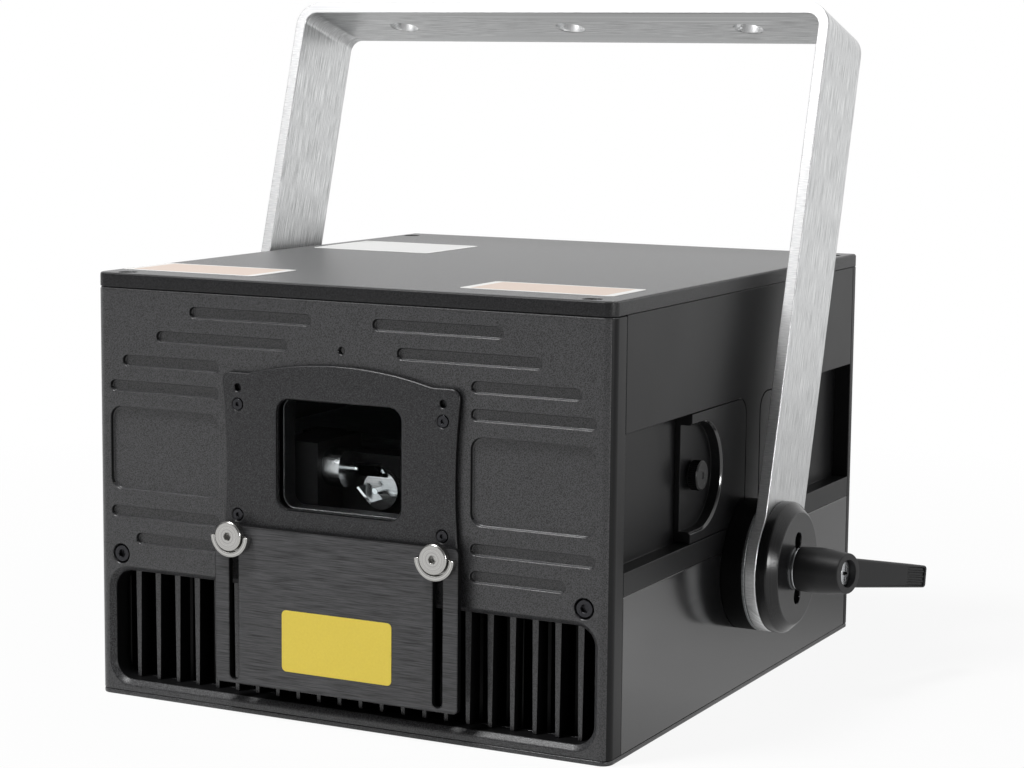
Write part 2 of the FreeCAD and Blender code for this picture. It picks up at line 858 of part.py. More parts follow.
# The window plate has a waist at each side and an arched top
def make_window_plate():
    body = new_body()
    sketch = sketch_on(body, "XZ_Plane", f"-{FRONT}")
    run = "(plate_shoulder - plate_bottom - 2 * plate_corner)"
    waist = f"(({run} / 2) ^ 2 + plate_waist ^ 2) / (2 * plate_waist)"
    arch = "(arch_half_width ^ 2 + arch_rise ^ 2) / (2 * arch_rise)"
    low, high = "plate_bottom + plate_corner", "plate_shoulder - plate_corner"
    inner = "plate_half_width - plate_corner"
    outline(
        sketch,
        (f"-({inner})", "plate_bottom", ""),
        (inner, "plate_bottom", "plate_corner"),
        ("plate_half_width", low, f"-{waist}"),
        ("plate_half_width", high, "plate_corner"),
        (inner, "plate_shoulder", ""),
        ("arch_half_width", "plate_shoulder", arch),
        ("-arch_half_width", "plate_shoulder", ""),
        (f"-({inner})", "plate_shoulder", "plate_corner"),
        ("-plate_half_width", high, f"-{waist}"),
        ("-plate_half_width", low, "plate_corner"),
    )
    pad(body, sketch, "plate_thick")
    face = f"-{PLATE_FACE}"
    window = sketch_on(body, "XZ_Plane", face)
    window_shape(window, "0")
    pocket(body, window)
    bevel(body, on_window_rim, "edge_break")
    heads = sketch_on(body, "XZ_Plane", face)
    bores = sketch_on(body, "XZ_Plane", face)
    for height in WINDOW_SCREWS:
        both_sides(lambda x: circle(heads, x, height, "window_head_radius + window_head_clear"),
                   "±window_screw_x")
        both_sides(lambda x: circle(bores, x, height, "window_screw_radius + screw_clear"),
                   "±window_screw_x")
    both_sides(lambda x: circle(bores, x, SPARE_HOLE_Z, "window_screw_radius + screw_clear"),
               "±window_screw_x")
    both_sides(lambda x: circle(bores, x, CLAMP_Z, "clamp_radius + screw_clear"), "±clamp_x")
    pocket(body, heads, "window_head")
    pocket(body, bores)
    node(body, "window_plate")


def on_window_rim(edge):
    """Whether an edge belongs to the front rim of the window."""
    return level(edge, "Y", PLATE_FACE) and abs(edge.XMin) < number("window_half_width") + NEAR


def make_window_screws():
    screws = []
    for x in ("window_screw_x", "-window_screw_x"):
        for z in WINDOW_SCREWS:
            solid = fuse(
                rod("window_head_radius", "window_head", "y", x, PLATE_FACE, z),
                rod("window_screw_radius", "plate_thick - window_head + window_screw_reach", "y", x,
                    f"{PLATE_FACE} + window_head", z),
            )
            socket = hexagon("window_socket_radius", "window_socket", "y", x, PLATE_FACE, z)
            screws.append(cut(solid, socket))
    node(group(*screws), "window_screws")


def make_window_glass():
    body = new_body()
    sketch = sketch_on(body, "XZ_Plane", f"-({FRONT} + glass_thick)")
    window_shape(sketch, "glass_margin")
    pad(body, sketch, "glass_thick")
    node(body, "window_glass")


# The shutter plate slides up over the window on its two clamp screws
def make_shutter_plate():
    body = new_body()
    sketch = sketch_on(body, "XZ_Plane", f"-{SHUTTER_BACK}")
    top = "(shutter_bottom + shutter_height)"
    rounded_rectangle(sketch, "-shutter_half_width", "shutter_half_width", "shutter_bottom", top,
                      "shutter_round")
    for x in ("clamp_x", "-clamp_x"):
        upright_slot(sketch, x, "shutter_bottom + shutter_slot_margin", f"{top} - shutter_slot_margin",
                     "shutter_slot_width")
    pad(body, sketch, "shutter_thick")
    bevel(body, lambda edge: level(edge, "Y", SHUTTER_FACE), "edge_break / 2")
    node(body, "shutter_plate")


def make_shutter_screws():
    grip = "shutter_thick + 2 * shutter_gap + saddle_base + plate_thick + clamp_reach"
    face = f"{SADDLE_FACE} - clamp_head"
    solid = fuse(
        taper("clamp_head_radius - clamp_bevel", "clamp_head_radius", "clamp_bevel", "y", "clamp_x", face,
              CLAMP_Z),
        rod("clamp_head_radius", "clamp_head - clamp_bevel", "y", "clamp_x", f"{face} + clamp_bevel",
            CLAMP_Z),
        rod("clamp_radius", grip, "y", "clamp_x", SADDLE_FACE, CLAMP_Z),
    )
    socket = hexagon("clamp_socket_radius", "clamp_socket", "y", "clamp_x", face, CLAMP_Z)
    right = node(cut(solid, socket), "right_shutter_screw")
    node(mirror(right), "left_shutter_screw")


# Each saddle is a washer with half a rim, under the head of a clamp screw
def make_shutter_saddles():
    half = box("clamp_x - saddle_outer", f"{SADDLE_FACE} - saddle_wall", f"{CLAMP_Z} - saddle_outer",
               "2 * saddle_outer", "saddle_wall + saddle_base", "saddle_outer")
    cup = cut(
        rod("saddle_outer", "saddle_wall + saddle_base", "y", "clamp_x", f"{SADDLE_FACE} - saddle_wall",
            CLAMP_Z),
        rod("saddle_inner", "saddle_wall", "y", "clamp_x", f"{SADDLE_FACE} - saddle_wall", CLAMP_Z),
    )
    lower = doc.addObject("Part::Common", "Half")
    lower.Base = cup
    lower.Tool = half
    ring = rod("clamp_head_radius - clamp_bevel", "saddle_base", "y", "clamp_x", SADDLE_FACE, CLAMP_Z)
    bore = rod("clamp_radius + screw_clear", "saddle_base", "y", "clamp_x", SADDLE_FACE, CLAMP_Z)
    right = cut(fuse(lower, ring), bore)
    node(group(right, mirror(right)), "shutter_saddles")


# Each upper side panel is a thick plate with a long recess on both sides of a column
def make_side_panels():
    body = new_body()
    plate = sketch_on(body, "YZ_Plane", f"{RIGHT} - upper_wall")
    rectangle(plate, FRONT_INNER, REAR_INNER, "split_height", LID_UNDER)
    pad(body, plate, "upper_wall")
    recess = sketch_on(body, "YZ_Plane", RIGHT)
    outline(
        recess,
        (FRONT_INNER, "recess_bottom", ""),
        ("column_front", "recess_bottom", ""),
        ("column_front", "recess_top - recess_round", "recess_round"),
        ("column_front - recess_round", "recess_top", ""),
        (FRONT_INNER, "recess_top", ""),
    )
    outline(
        recess,
        (COLUMN_BACK, "recess_bottom", ""),
        (REAR_INNER, "recess_bottom", ""),
        (REAR_INNER, "recess_top", ""),
        (f"{COLUMN_BACK} + recess_round", "recess_top", "recess_round"),
        (COLUMN_BACK, "recess_top - recess_round", ""),
    )
    pocket(body, recess, "recess_depth")
    holes = sketch_on(body, "YZ_Plane", RIGHT)
    for y in (KNOB_Y, REAR_KNOB_Y):
        circle(holes, y, POCKET_Z, KNOB_HOLE)
    pocket(body, holes)
    tapped = sketch_on(body, "XY_Plane", LID_UNDER)
    circle(tapped, "lid_screw_rear_x", "lid_screw_rear_y", "cap_screw_radius + screw_clear")
    pocket(body, tapped, "lid_screw_reach + cap_sink")
    right = node(body, "right_side_panel")
    node(mirror(right), "left_side_panel")


def make_lower_panels():
    plate = box(f"{RIGHT} - lower_wall", FRONT_INNER, "base_thick", "lower_wall",
                f"{REAR_INNER} - {FRONT_INNER}", "split_height - base_thick")
    bore = rod(STUD_HOLE, "lower_wall", "x", f"{RIGHT} - lower_wall", "axis_back", "axis_height")
    right = node(cut(plate, bore), "right_lower_panel")
    node(mirror(right), "left_lower_panel")


# A side block fills the recess beside the column and has a D-shaped pocket for its knob
def make_side_blocks():
    body = new_body()
    shape = sketch_on(body, "YZ_Plane", f"{RIGHT} - recess_depth")
    back = "column_front - block_gap"
    top = "recess_top - block_gap"
    outline(
        shape,
        (BLOCK_FRONT, "recess_bottom + block_gap", ""),
        (back, "recess_bottom + block_gap", ""),
        (back, "recess_top - recess_round", "recess_round - block_gap"),
        ("column_front - recess_round", top, ""),
        (BLOCK_FRONT, top, ""),
    )
    pad(body, shape, "recess_depth")
    hollow = sketch_on(body, "YZ_Plane", RIGHT)
    outline(
        hollow,
        (BLOCK_FRONT, f"{POCKET_Z} - pocket_radius", ""),
        (KNOB_Y, f"{POCKET_Z} - pocket_radius", "pocket_radius"),
        (f"{KNOB_Y} + pocket_radius", POCKET_Z, "pocket_radius"),
        (KNOB_Y, f"{POCKET_Z} + pocket_radius", ""),
        (BLOCK_FRONT, f"{POCKET_Z} + pocket_radius", ""),
    )
    pocket(body, hollow, "pocket_depth")
    bevel(body, on_pocket_rim, "pocket_bevel")
    hole = sketch_on(body, "YZ_Plane", RIGHT)
    circle(hole, KNOB_Y, POCKET_Z, KNOB_HOLE)
    pocket(body, hole)
    four_times(body, "block")


def on_pocket_rim(edge):
    """Whether an edge belongs to the outer rim of a block's pocket."""
    inside = edge.ZMin > number(f"{POCKET_Z} - pocket_radius") - NEAR
    return level(edge, "X", RIGHT) and inside and edge.ZMax < number(f"{POCKET_Z} + pocket_radius") + NEAR


def make_side_knobs():
    floor = f"({RIGHT} - pocket_depth)"
    head = f"({floor} + knob_neck)"
    knob = fuse(
        rod("knob_thread_radius", "knob_thread", "x", f"{floor} - knob_thread", KNOB_Y, POCKET_Z),
        rod("knob_neck_radius", "knob_neck", "x", floor, KNOB_Y, POCKET_Z),
        rod("knob_radius", "knob_head - knob_bevel", "x", head, KNOB_Y, POCKET_Z),
        taper("knob_radius", "knob_radius - knob_bevel", "knob_bevel", "x",
              f"{head} + knob_head - knob_bevel", KNOB_Y, POCKET_Z),
    )
    four_times(knob, "knob")


def four_times(right_front, name):
    """The right front piece and its mirror images at the rear and on the left."""
    node(right_front, f"right_front_{name}")
    right_rear = node(mirror(right_front, "y", "column_front + column_width / 2"), f"right_rear_{name}")
    node(mirror(right_front), f"left_front_{name}")
    node(mirror(right_rear), f"left_rear_{name}")


# The yoke is a flat bar bent to a U with round eyes, drawn upright about its pivot and then tilted
def make_yoke():
    body = new_body()
    outer = "(yoke_gap + yoke_thick)"
    inner_top = "(yoke_reach - yoke_thick)"
    outer_bend = "(yoke_bend + yoke_thick)"
    bar = sketch_on(body, "XZ_Plane", "-yoke_width / 2")
    outline(
        bar,
        ("yoke_gap", "0", ""),
        (outer, "0", ""),
        (outer, f"yoke_reach - {outer_bend}", outer_bend),
        (f"{outer} - {outer_bend}", "yoke_reach", ""),
        (f"-({outer} - {outer_bend})", "yoke_reach", outer_bend),
        (f"-{outer}", f"yoke_reach - {outer_bend}", ""),
        (f"-{outer}", "0", ""),
        ("-yoke_gap", "0", ""),
        ("-yoke_gap", f"{inner_top} - yoke_bend", "-yoke_bend"),
        ("-(yoke_gap - yoke_bend)", inner_top, ""),
        ("yoke_gap - yoke_bend", inner_top, "-yoke_bend"),
        ("yoke_gap", f"{inner_top} - yoke_bend", ""),
    )
    pad(body, bar, "yoke_width")
    neck = "(yoke_width / 2 + eye_blend)"
    rise = f"sqrt((eye_radius + eye_blend) ^ 2 - {neck} ^ 2)"
    share = "eye_radius / (eye_radius + eye_blend)"
    eye = sketch_on(body, "YZ_Plane", "yoke_gap")
    outline(
        eye,
        ("yoke_width / 2", rise, ""),
        ("-yoke_width / 2", rise, "-eye_blend"),
        (f"-{neck} * {share}", f"{rise} * {share}", "eye_radius"),
        ("0", "-eye_radius", "eye_radius"),
        (f"{neck} * {share}", f"{rise} * {share}", "-eye_blend"),
    )
    eye_pad = pad(body, eye, "yoke_thick")
    mirror_in_body(body, [eye_pad])
    pivots = sketch_on(body, "YZ_Plane", outer)
    circle(pivots, "0", "0", STUD_HOLE)
    pocket(body, pivots)
    holes = sketch_on(body, "XY_Plane", "yoke_reach")
    for x in ("-yoke_hole_pitch", "0", "yoke_hole_pitch"):
        circle(holes, x, "0", "yoke_hole_radius")
    pocket(body, holes)
    place(body, y="axis_back", z="axis_height")
    turn(body, FreeCAD.Vector(-1, 0, 0), "yoke_tilt")
    node(body, "yoke")


def make_hub():
    """The fixed spacers, washers and studs, and the discs that turn with the yoke."""
    spacer_length = f"yoke_gap - {RIGHT} - washer_thick - slide_gap"
    axis = ("axis_back", "axis_height")
    spacer = cut(rod("eye_radius", spacer_length, "x", RIGHT, *axis),
                 rod(STUD_HOLE, spacer_length, "x", RIGHT, *axis))
    node(group(spacer, mirror(spacer)), "hub_spacers")
    washer_at = "yoke_gap - washer_thick - slide_gap"
    washer = cut(rod("eye_radius", "washer_thick", "x", washer_at, *axis),
                 rod(STUD_HOLE, "washer_thick", "x", washer_at, *axis))
    node(group(washer, mirror(washer)), "friction_washers")
    stud_start = f"({RIGHT} - lower_wall)"
    stud = rod("stud_radius", f"{DISC_FACE} + stud_bore - {stud_start} - stud_clear", "x", stud_start, *axis)
    node(group(stud, mirror(stud)), "pivot_studs")
    rim_at = "(yoke_gap + yoke_thick)"
    pin_at = f"{rim_at} + disc_rim + disc_bevel - disc_pin_depth"
    disc = cut(
        fuse(rod("eye_radius", "disc_rim", "x", rim_at),
             taper("eye_radius", "eye_radius - disc_bevel", "disc_bevel", "x", f"{rim_at} + disc_rim")),
        rod(STUD_HOLE, "disc_rim + disc_bevel", "x", rim_at),
        rod("disc_pin_radius", "disc_pin_depth", "x", pin_at, "0", "disc_pin_reach"),
        rod("disc_pin_radius", "disc_pin_depth", "x", pin_at, "0", "-disc_pin_reach"),
    )
    right = node(place(disc, y="axis_back", z="axis_height"), "right_hub_disc")
    node(mirror(right), "left_hub_disc")


# The clamp lever is drawn along its own X from the outer face of the hub disc, then set on the axis
def set_lever(thing):
    place(thing, DISC_FACE, "axis_back", "axis_height")
    return turn(thing, FreeCAD.Vector(-1, 0, 0), "lever_drop")


def make_lever_inserts():
    body = fuse(
        rod("flange_radius", "flange_thick", "x"),
        hexagon("hex_radius", "hex_length", "x", "flange_thick"),
        rod("core_radius", "insert_length - flange_thick", "x", "flange_thick"),
    )
    insert = cut(body, rod(STUD_HOLE, "stud_bore", "x"),
                 rod("lever_screw_radius + screw_clear", "insert_length - stud_bore", "x", "stud_bore"))
    right = node(set_lever(insert), "right_lever_insert")
    node(mirror(right), "left_lever_insert")


def make_lever_handles():
    base = "(flange_thick + slide_gap)"
    belly = f"({base} + handle_belly)"
    blank_end = "(handle_length + handle_end_radius * tan(handle_slant))"
    blank = fuse(
        taper("handle_base_radius", "handle_belly_radius", "handle_belly", "x", base),
        taper("handle_belly_radius", "handle_end_radius", f"{blank_end} - {belly}", "x", belly),
    )
    reach = "(2 * handle_end_radius)"
    waste = box(f"handle_length - {reach} * sin(handle_slant)", f"-{reach} * cos(handle_slant)",
                f"-{reach}", reach, f"2 * {reach}", f"2 * {reach}")
    hub = cut(blank, turn(waste, FreeCAD.Vector(0, 0, -1), "handle_slant"))
    web_base = "(insert_length + core_clear)"
    recess_base = f"({web_base} + handle_web)"
    handle = cut(
        fuse(hub, lever_arm()),
        hexagon("hex_radius + hex_clear", "hex_length + hex_clear", "x", "flange_thick"),
        rod("core_radius + core_clear", f"{web_base} - flange_thick", "x", "flange_thick"),
        rod("handle_web_bore", "handle_web", "x", web_base),
        rod("handle_recess_radius", f"{blank_end} - {recess_base}", "x", recess_base),
    )
    right = node(set_lever(handle), "right_lever_handle")
    node(mirror(right), "left_lever_handle")


def lever_arm():
    """The arm: a flat bar that narrows to a blunt tip with grip grooves, swung outwards from the disc."""
    body = new_body()
    side = sketch_on(body, "YZ_Plane", "-arm_depth / 2")
    root, tip = "(arm_root_height / 2)", "(arm_tip_height / 2)"
    outline(
        side,
        ("0", f"-{root}", ""),
        ("arm_length - arm_tip_round", f"-{tip}", "arm_tip_round"),
        ("arm_length", f"-{tip} + arm_tip_round", ""),
        ("arm_length", f"{tip} - arm_tip_round", "arm_tip_round"),
        ("arm_length - arm_tip_round", tip, ""),
        ("0", root, ""),
    )
    pad(body, side, "arm_depth")
    bevel(body, lambda edge: level(edge, "X", "arm_depth / 2") and edge.YMax > NEAR, "arm_bevel")
    grooves = sketch_on(body, "YZ_Plane", "arm_depth / 2")
    end = "(arm_length - rib_inset)"
    for step in range(int(number("rib_count"))):
        height = f"(({step} - (rib_count - 1) / 2) * rib_pitch)"
        slot(grooves, f"({end} - rib_length)", end, height, "rib_width")
    pocket(body, grooves, "rib_depth")
    place(body, "arm_start")
    return turn(body, FreeCAD.Vector(0, 0, -1), "arm_angle")


def make_lever_screws():
    head_at = "(insert_length + core_clear + handle_web + lever_lift + slide_gap)"
    shank_at = "(insert_length - lever_screw_reach)"
    cross_at = f"{head_at} + lever_head - cross_depth"
    screw = cut(
        fuse(rod("lever_screw_radius", f"{head_at} - {shank_at}", "x", shank_at),
             rod("lever_head_radius", "lever_head", "x", head_at)),
        box(cross_at, "-cross_width / 2", "-cross_length / 2", "cross_depth", "cross_width", "cross_length"),
        box(cross_at, "-cross_length / 2", "-cross_width / 2", "cross_depth", "cross_length", "cross_width"),
    )
    right = node(set_lever(screw), "right_lever_screw")
    node(mirror(right), "left_lever_screw")


# The optical deck closes the lower air duct, and the heatsink hangs from it
def make_deck():
    deck_z = "split_height - deck_thick"
    half = f"({RIGHT} - lower_wall)"
    plate = box(f"-{half}", FRONT_INNER, deck_z, f"2 * {half}", f"deck_back - {FRONT_INNER}", "deck_thick")
    bores = [rod("cap_screw_radius + screw_clear", "corner_screw_reach + cap_sink", "y", x, FRONT_INNER,
                 "corner_screw_z") for x in ("corner_screw_x", "-corner_screw_x")]
    node(cut(plate, *bores), "optical_deck")


def make_heatsink():
    body = new_body()
    half = "((fin_count - 1) / 2 * fin_pitch)"
    top = "(split_height - deck_thick)"
    base = sketch_on(body, "XZ_Plane", "-sink_back")
    rectangle(base, f"-{half} - fin_thick / 2", f"{half} + fin_thick / 2", f"{top} - sink_base", top)
    pad(body, base, "sink_front + sink_back")
    fin = sketch_on(body, "XZ_Plane", "-sink_back")
    rectangle(fin, f"-{half} - fin_thick / 2", f"-{half} + fin_thick / 2", "base_thick + sink_foot",
              f"{top} - sink_base / 2")
    first = pad(body, fin, "sink_front + sink_back")
    fins = pattern(body, "LinearPattern", [first], Direction=(origin_part(body, "X_Axis"), [""]))
    bind(fins, Length="(fin_count - 1) * fin_pitch", Occurrences="fin_count")
    node(body, "heatsink")


# The scanner block clamps one galvo level and one pointing at the window
def make_scanner():
    wall = box("-scan_wall_left", "-scan_front", "split_height", "scan_wall_left - scan_wall_right",
               "scan_front - scan_back", "scan_wall_top - split_height")
    back = box("-scan_wall_right", "-(scan_back + scan_back_wall)", "split_height",
               "scan_wall_right + scan_back_end", "scan_back_wall", "scan_back_top - split_height")
    level_axis = ("-horizontal_axis_y", "horizontal_axis_z")
    bore = "galvo_radius + galvo_clear"
    level_bore = rod(bore, "scan_wall_left - scan_wall_right", "x", "-scan_wall_left", *level_axis)
    front_bore = rod(bore, "scan_back_wall", "y", "vertical_axis_x", "-(scan_back + scan_back_wall)",
                     "vertical_axis_z")
    node(cut(fuse(wall, back), level_bore, front_bore), "scanner_block")
    shaft_bore = "scan_shaft_radius + scan_shaft_clear"
    level_galvo = cut(
        rod("galvo_radius", "galvo_length", "x", "-horizontal_face - galvo_length", *level_axis),
        rod(shaft_bore, "galvo_bore", "x", "-horizontal_face - galvo_bore", *level_axis),
    )
    node(level_galvo, "horizontal_galvo")
    front_galvo = cut(
        rod("galvo_radius", "galvo_length", "y", "vertical_axis_x", "-vertical_face", "vertical_axis_z"),
        rod(shaft_bore, "galvo_bore", "y", "vertical_axis_x", "-vertical_face", "vertical_axis_z"),
    )
    node(front_galvo, "vertical_galvo")


def make_scan_mirrors():
    shaft = "galvo_bore - scan_shaft_clear + scan_shaft"
    level_piece = fuse(
        rod("scan_shaft_radius", f"{shaft} + mirror_thick", "x", "-galvo_bore + scan_shaft_clear"),
        box("scan_shaft", "-mirror_thick / 2", "-horizontal_mirror_width / 2", "horizontal_mirror_length",
            "mirror_thick", "horizontal_mirror_width"),
    )
    place(level_piece, "-horizontal_face", "-horizontal_axis_y", "horizontal_axis_z")
    node(turn(level_piece, FreeCAD.Vector(1, 0, 0), "mirror_turn"), "horizontal_mirror")
    front_piece = fuse(
        rod("scan_shaft_radius", f"{shaft} + mirror_thick", "y", "0", "-scan_shaft - mirror_thick"),
        box("-vertical_mirror_width / 2", "-scan_shaft - vertical_mirror_length", "-mirror_thick / 2",
            "vertical_mirror_width", "vertical_mirror_length", "mirror_thick"),
    )
    place(front_piece, "vertical_axis_x", "-vertical_face", "vertical_axis_z")
    node(turn(front_piece, FreeCAD.Vector(0, 1, 0), "mirror_turn"), "vertical_mirror")


# The laser module and the beam mirror stand on the deck
def make_laser():
    case = box("laser_x - laser_width / 2", "-laser_front", "split_height", "laser_width", "laser_length",
               "laser_height")
    snout = rod("laser_snout_radius", "laser_snout", "y", "laser_x - laser_width / 4",
                "-laser_front - laser_snout", "split_height + laser_beam_height")
    node(fuse(case, snout), "laser_module")
    node(box("-mount_x - mount_width / 2", "-mount_y - mount_depth / 2", "split_height", "mount_width",
             "mount_depth", "mount_height"), "beam_mirror_mount")
    node(box("-mount_x - beam_mirror_size / 2", "-mount_y - mount_depth / 2 - beam_mirror_thick",
             "split_height + laser_beam_height - beam_mirror_size / 2", "beam_mirror_size",
             "beam_mirror_thick", "beam_mirror_size"), "beam_mirror")


# The electronics stand on the deck behind the optics
def make_electronics():
    node(box("-supply_x - supply_width / 2", "supply_y - supply_length / 2", "split_height",
             "supply_width", "supply_length", "supply_height"), "power_supply")
    board_z = "split_height + standoff_height"
    left = "board_x - board_width / 2"
    front = "board_y - board_length / 2"
    face = f"{board_z} + board_thick"
    board = fuse(
        box(left, front, board_z, "board_width", "board_length", "board_thick"),
        box("board_x - chip_size / 2", "board_y - chip_size / 2", face, "chip_size", "chip_size",
            "chip_height"),
        box(f"{left} + standoff_inset", f"{front} + standoff_inset", face, "terminal_width",
            "terminal_depth", "terminal_height"),
    )
    node(board, "control_board")
    standoffs = []
    for across in ("-", "+"):
        for along in ("-", "+"):
            x = f"board_x {across} (board_width / 2 - standoff_inset)"
            y = f"board_y {along} (board_length / 2 - standoff_inset)"
            standoffs.append(rod("standoff_radius", "standoff_height", "z", x, y, "split_height"))
    node(group(*standoffs), "board_standoffs")


# Two fans behind the heatsink blow through slots in the rear panel
def make_fans():
    plate_at = f"({REAR_INNER} - fan_hub_plate)"
    frame = cut(
        box("fan_x - fan_size / 2", FAN_FRONT, "base_thick", "fan_size", "fan_thick", "fan_size"),
        rod("fan_bore_radius", "fan_thick", "y", "fan_x", FAN_FRONT, FAN_Z),
    )
    carrier = fuse(
        frame,
        rod("fan_hub_radius", "fan_hub_plate", "y", "fan_x", plate_at, FAN_Z),
        box("fan_x - fan_size / 2", plate_at, f"{FAN_Z} - fan_strut / 2", "fan_size", "fan_hub_plate",
            "fan_strut"),
        box("fan_x - fan_strut / 2", plate_at, "base_thick", "fan_strut", "fan_hub_plate", "fan_size"),
    )
    right = cut(carrier, rod("axle_radius + axle_clear", "fan_hub_plate", "y", "fan_x", plate_at, FAN_Z))
    node(group(right, mirror(right)), "fan_frames")
    rotor = fan_rotor()
    place(rotor, "fan_x", f"{plate_at} - rotor_gap", FAN_Z)
    rotor.Placement.Rotation = FreeCAD.Rotation(FreeCAD.Vector(1, 0, 0), 90)
    node(rotor, "right_fan_rotor")
    node(mirror(rotor), "left_fan_rotor")


def fan_rotor():
    """The rotor, drawn along its own Z away from the hub plate, with swept straight blades."""
    body = new_body()
    hub = sketch_on(body, "XY_Plane")
    circle(hub, "0", "0", "rotor_hub_radius")
    pad(body, hub, "rotor_length")
    axle = sketch_on(body, "XY_Plane", "-rotor_gap - axle_reach")
    circle(axle, "0", "0", "axle_radius")
    pad(body, axle, "rotor_gap + axle_reach + rotor_length / 2")
    blade = sketch_on(body, "XY_Plane")
    root = "rotor_hub_radius - blade_thick"
    outline(
        blade,
        (root, "-blade_thick / 2", ""),
        ("rotor_radius", "blade_sweep - blade_thick / 2", ""),
        ("rotor_radius", "blade_sweep + blade_thick / 2", ""),
        (root, "blade_thick / 2", ""),
    )
    first = pad(body, blade, "rotor_length")
    blades = pattern(body, "PolarPattern", [first], Axis=(origin_part(body, "Z_Axis"), [""]))
    blades.Angle = 360
    bind(blades, Occurrences="blade_count")
    return body


# The rear panel has the air outlets, the connectors and the key switch
def make_rear_panel():
    body = new_body()
    plate = sketch_on(body, "XZ_Plane", f"-{REAR}")
    rectangle(plate, "-case_width / 2", "case_width / 2", "base_thick", LID_UNDER)
    pad(body, plate, "rear_thick")
    inside = f"-{REAR_INNER}"
    outlets = []
    for step in (-3, -2, -1, 1, 2, 3):
        drop = f"({step} * outlet_slot_pitch)"
        reach = f"sqrt(outlet_radius ^ 2 - {drop} ^ 2)"
        outlet = sketch_on(body, "XZ_Plane", inside)
        slot(outlet, f"(fan_x - {reach})", f"(fan_x + {reach})", f"({FAN_Z} + {drop})", "outlet_slot_height")
        outlets.append(pocket(body, outlet))
    mirror_in_body(body, outlets)
    cuts = sketch_on(body, "XZ_Plane", inside)
    circle(cuts, "-inlet_x", REAR_ROW, "inlet_body_radius + fit_clear")
    rounded_rectangle(cuts, "-(show_shell_width / 2 + fit_clear)", "(show_shell_width / 2 + fit_clear)",
                      f"({REAR_ROW} - show_shell_height / 2 - fit_clear)",
                      f"({REAR_ROW} + show_shell_height / 2 + fit_clear)", "show_shell_round")
    circle(cuts, "key_x", REAR_ROW, "key_body_radius + fit_clear")
    pocket(body, cuts)
    node(body, "rear_panel")


def make_power_inlet():
    flange = box("-inlet_x - inlet_width / 2", REAR, f"{REAR_ROW} - inlet_height / 2", "inlet_width",
                 "inlet_flange", "inlet_height")
    centre = ("-inlet_x", REAR_ROW)
    body = rod("inlet_body_radius", "inlet_body_length", "y", centre[0], f"{REAR} - inlet_body_length",
               centre[1])
    face = f"{REAR} + inlet_flange"
    socket = rod("inlet_socket_radius", "inlet_socket_depth", "y", centre[0], f"{face} - inlet_socket_depth",
                 centre[1])
    node(cut(fuse(flange, body), socket), "power_inlet")


def make_show_connector():
    plate = box("-show_plate_width / 2", REAR, f"{REAR_ROW} - show_plate_height / 2", "show_plate_width",
                "show_plate", "show_plate_height")
    body = new_body()
    shell = sketch_on(body, "XZ_Plane", f"-({REAR} + show_plate + show_shell)")
    rounded_rectangle(shell, "-show_shell_width / 2", "(show_shell_width / 2)",
                      f"({REAR_ROW} - show_shell_height / 2)",
                      f"({REAR_ROW} + show_shell_height / 2)", "show_shell_round")
    pad(body, shell, "show_shell + show_plate + show_body_length")
    node(fuse(plate, body), "show_connector")


def make_key_switch():
    centre = ("key_x", REAR_ROW)
    body = fuse(
        rod("key_bezel_radius", "key_bezel", "y", centre[0], REAR, centre[1]),
        rod("key_body_radius", "key_body_length", "y", centre[0], f"{REAR} - key_body_length", centre[1]),
    )
    seat = f"{REAR} + key_bezel - barrel_length"
    node(cut(body, rod("barrel_radius + barrel_clear", "barrel_length", "y", centre[0], seat, centre[1])),
         "key_switch")
    face = f"{REAR} + key_bezel + barrel_proud"
    barrel = cut(
        rod("barrel_radius", "barrel_length + barrel_proud - barrel_clear", "y", centre[0],
            f"{seat} + barrel_clear", centre[1]),
        box("key_x - keyway_width / 2", f"{face} - keyway_depth", f"{REAR_ROW} - keyway_height / 2",
            "keyway_width", "keyway_depth", "keyway_height"),
    )
    node(barrel, "key_barrel")


make_base_plate()
make_lid()
make_lid_screws()
make_front_panel()
make_front_panel_screws()
make_emission_light()
make_intake_grille()
make_window_plate()
make_window_screws()
make_window_glass()
make_shutter_plate()
make_shutter_screws()
make_shutter_saddles()
make_side_panels()
make_lower_panels()
make_side_blocks()
make_side_knobs()
make_yoke()
make_hub()
make_lever_inserts()
make_lever_handles()
make_lever_screws()
make_deck()
make_heatsink()
make_scanner()
make_scan_mirrors()
make_laser()
make_electronics()
make_fans()
make_rear_panel()
make_power_inlet()
make_show_connector()
make_key_switch()
doc.recompute()

# Nothing is written unless every object and every sub-part's shape is sound
failed = [thing.Label for thing in doc.Objects if {"Invalid", "Error"} & set(thing.State)]
assert not failed, f"failed objects: {failed}"
for thing in NODES:
    assert not thing.Shape.isNull() and thing.Shape.isValid(), f"unsound shape: {thing.Label}"
    assert thing.Shape.Solids, f"no solid: {thing.Label}"

os.makedirs("parts", exist_ok=True)
for thing in NODES:
    thing.Shape.exportStep(f"parts/{thing.Label}.step")
    print(thing.Label, len(thing.Shape.Solids), round(thing.Shape.Volume, 1))
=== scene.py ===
# %% [markdown]
# # A laser show projector
# The projector is a black anodised box in a brushed aluminium yoke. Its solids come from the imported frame,
# already in place and in metres, so nothing here has to be fitted. This lesson breaks the solids' edges, gives every
# surface its finish, adds the small things that a solid model leaves out, and sets up the studio.

# %% Load the frame
import json
from math import cos, pi, radians, sin

import bmesh
import bpy
import numpy as np
from mathutils import Matrix, Vector

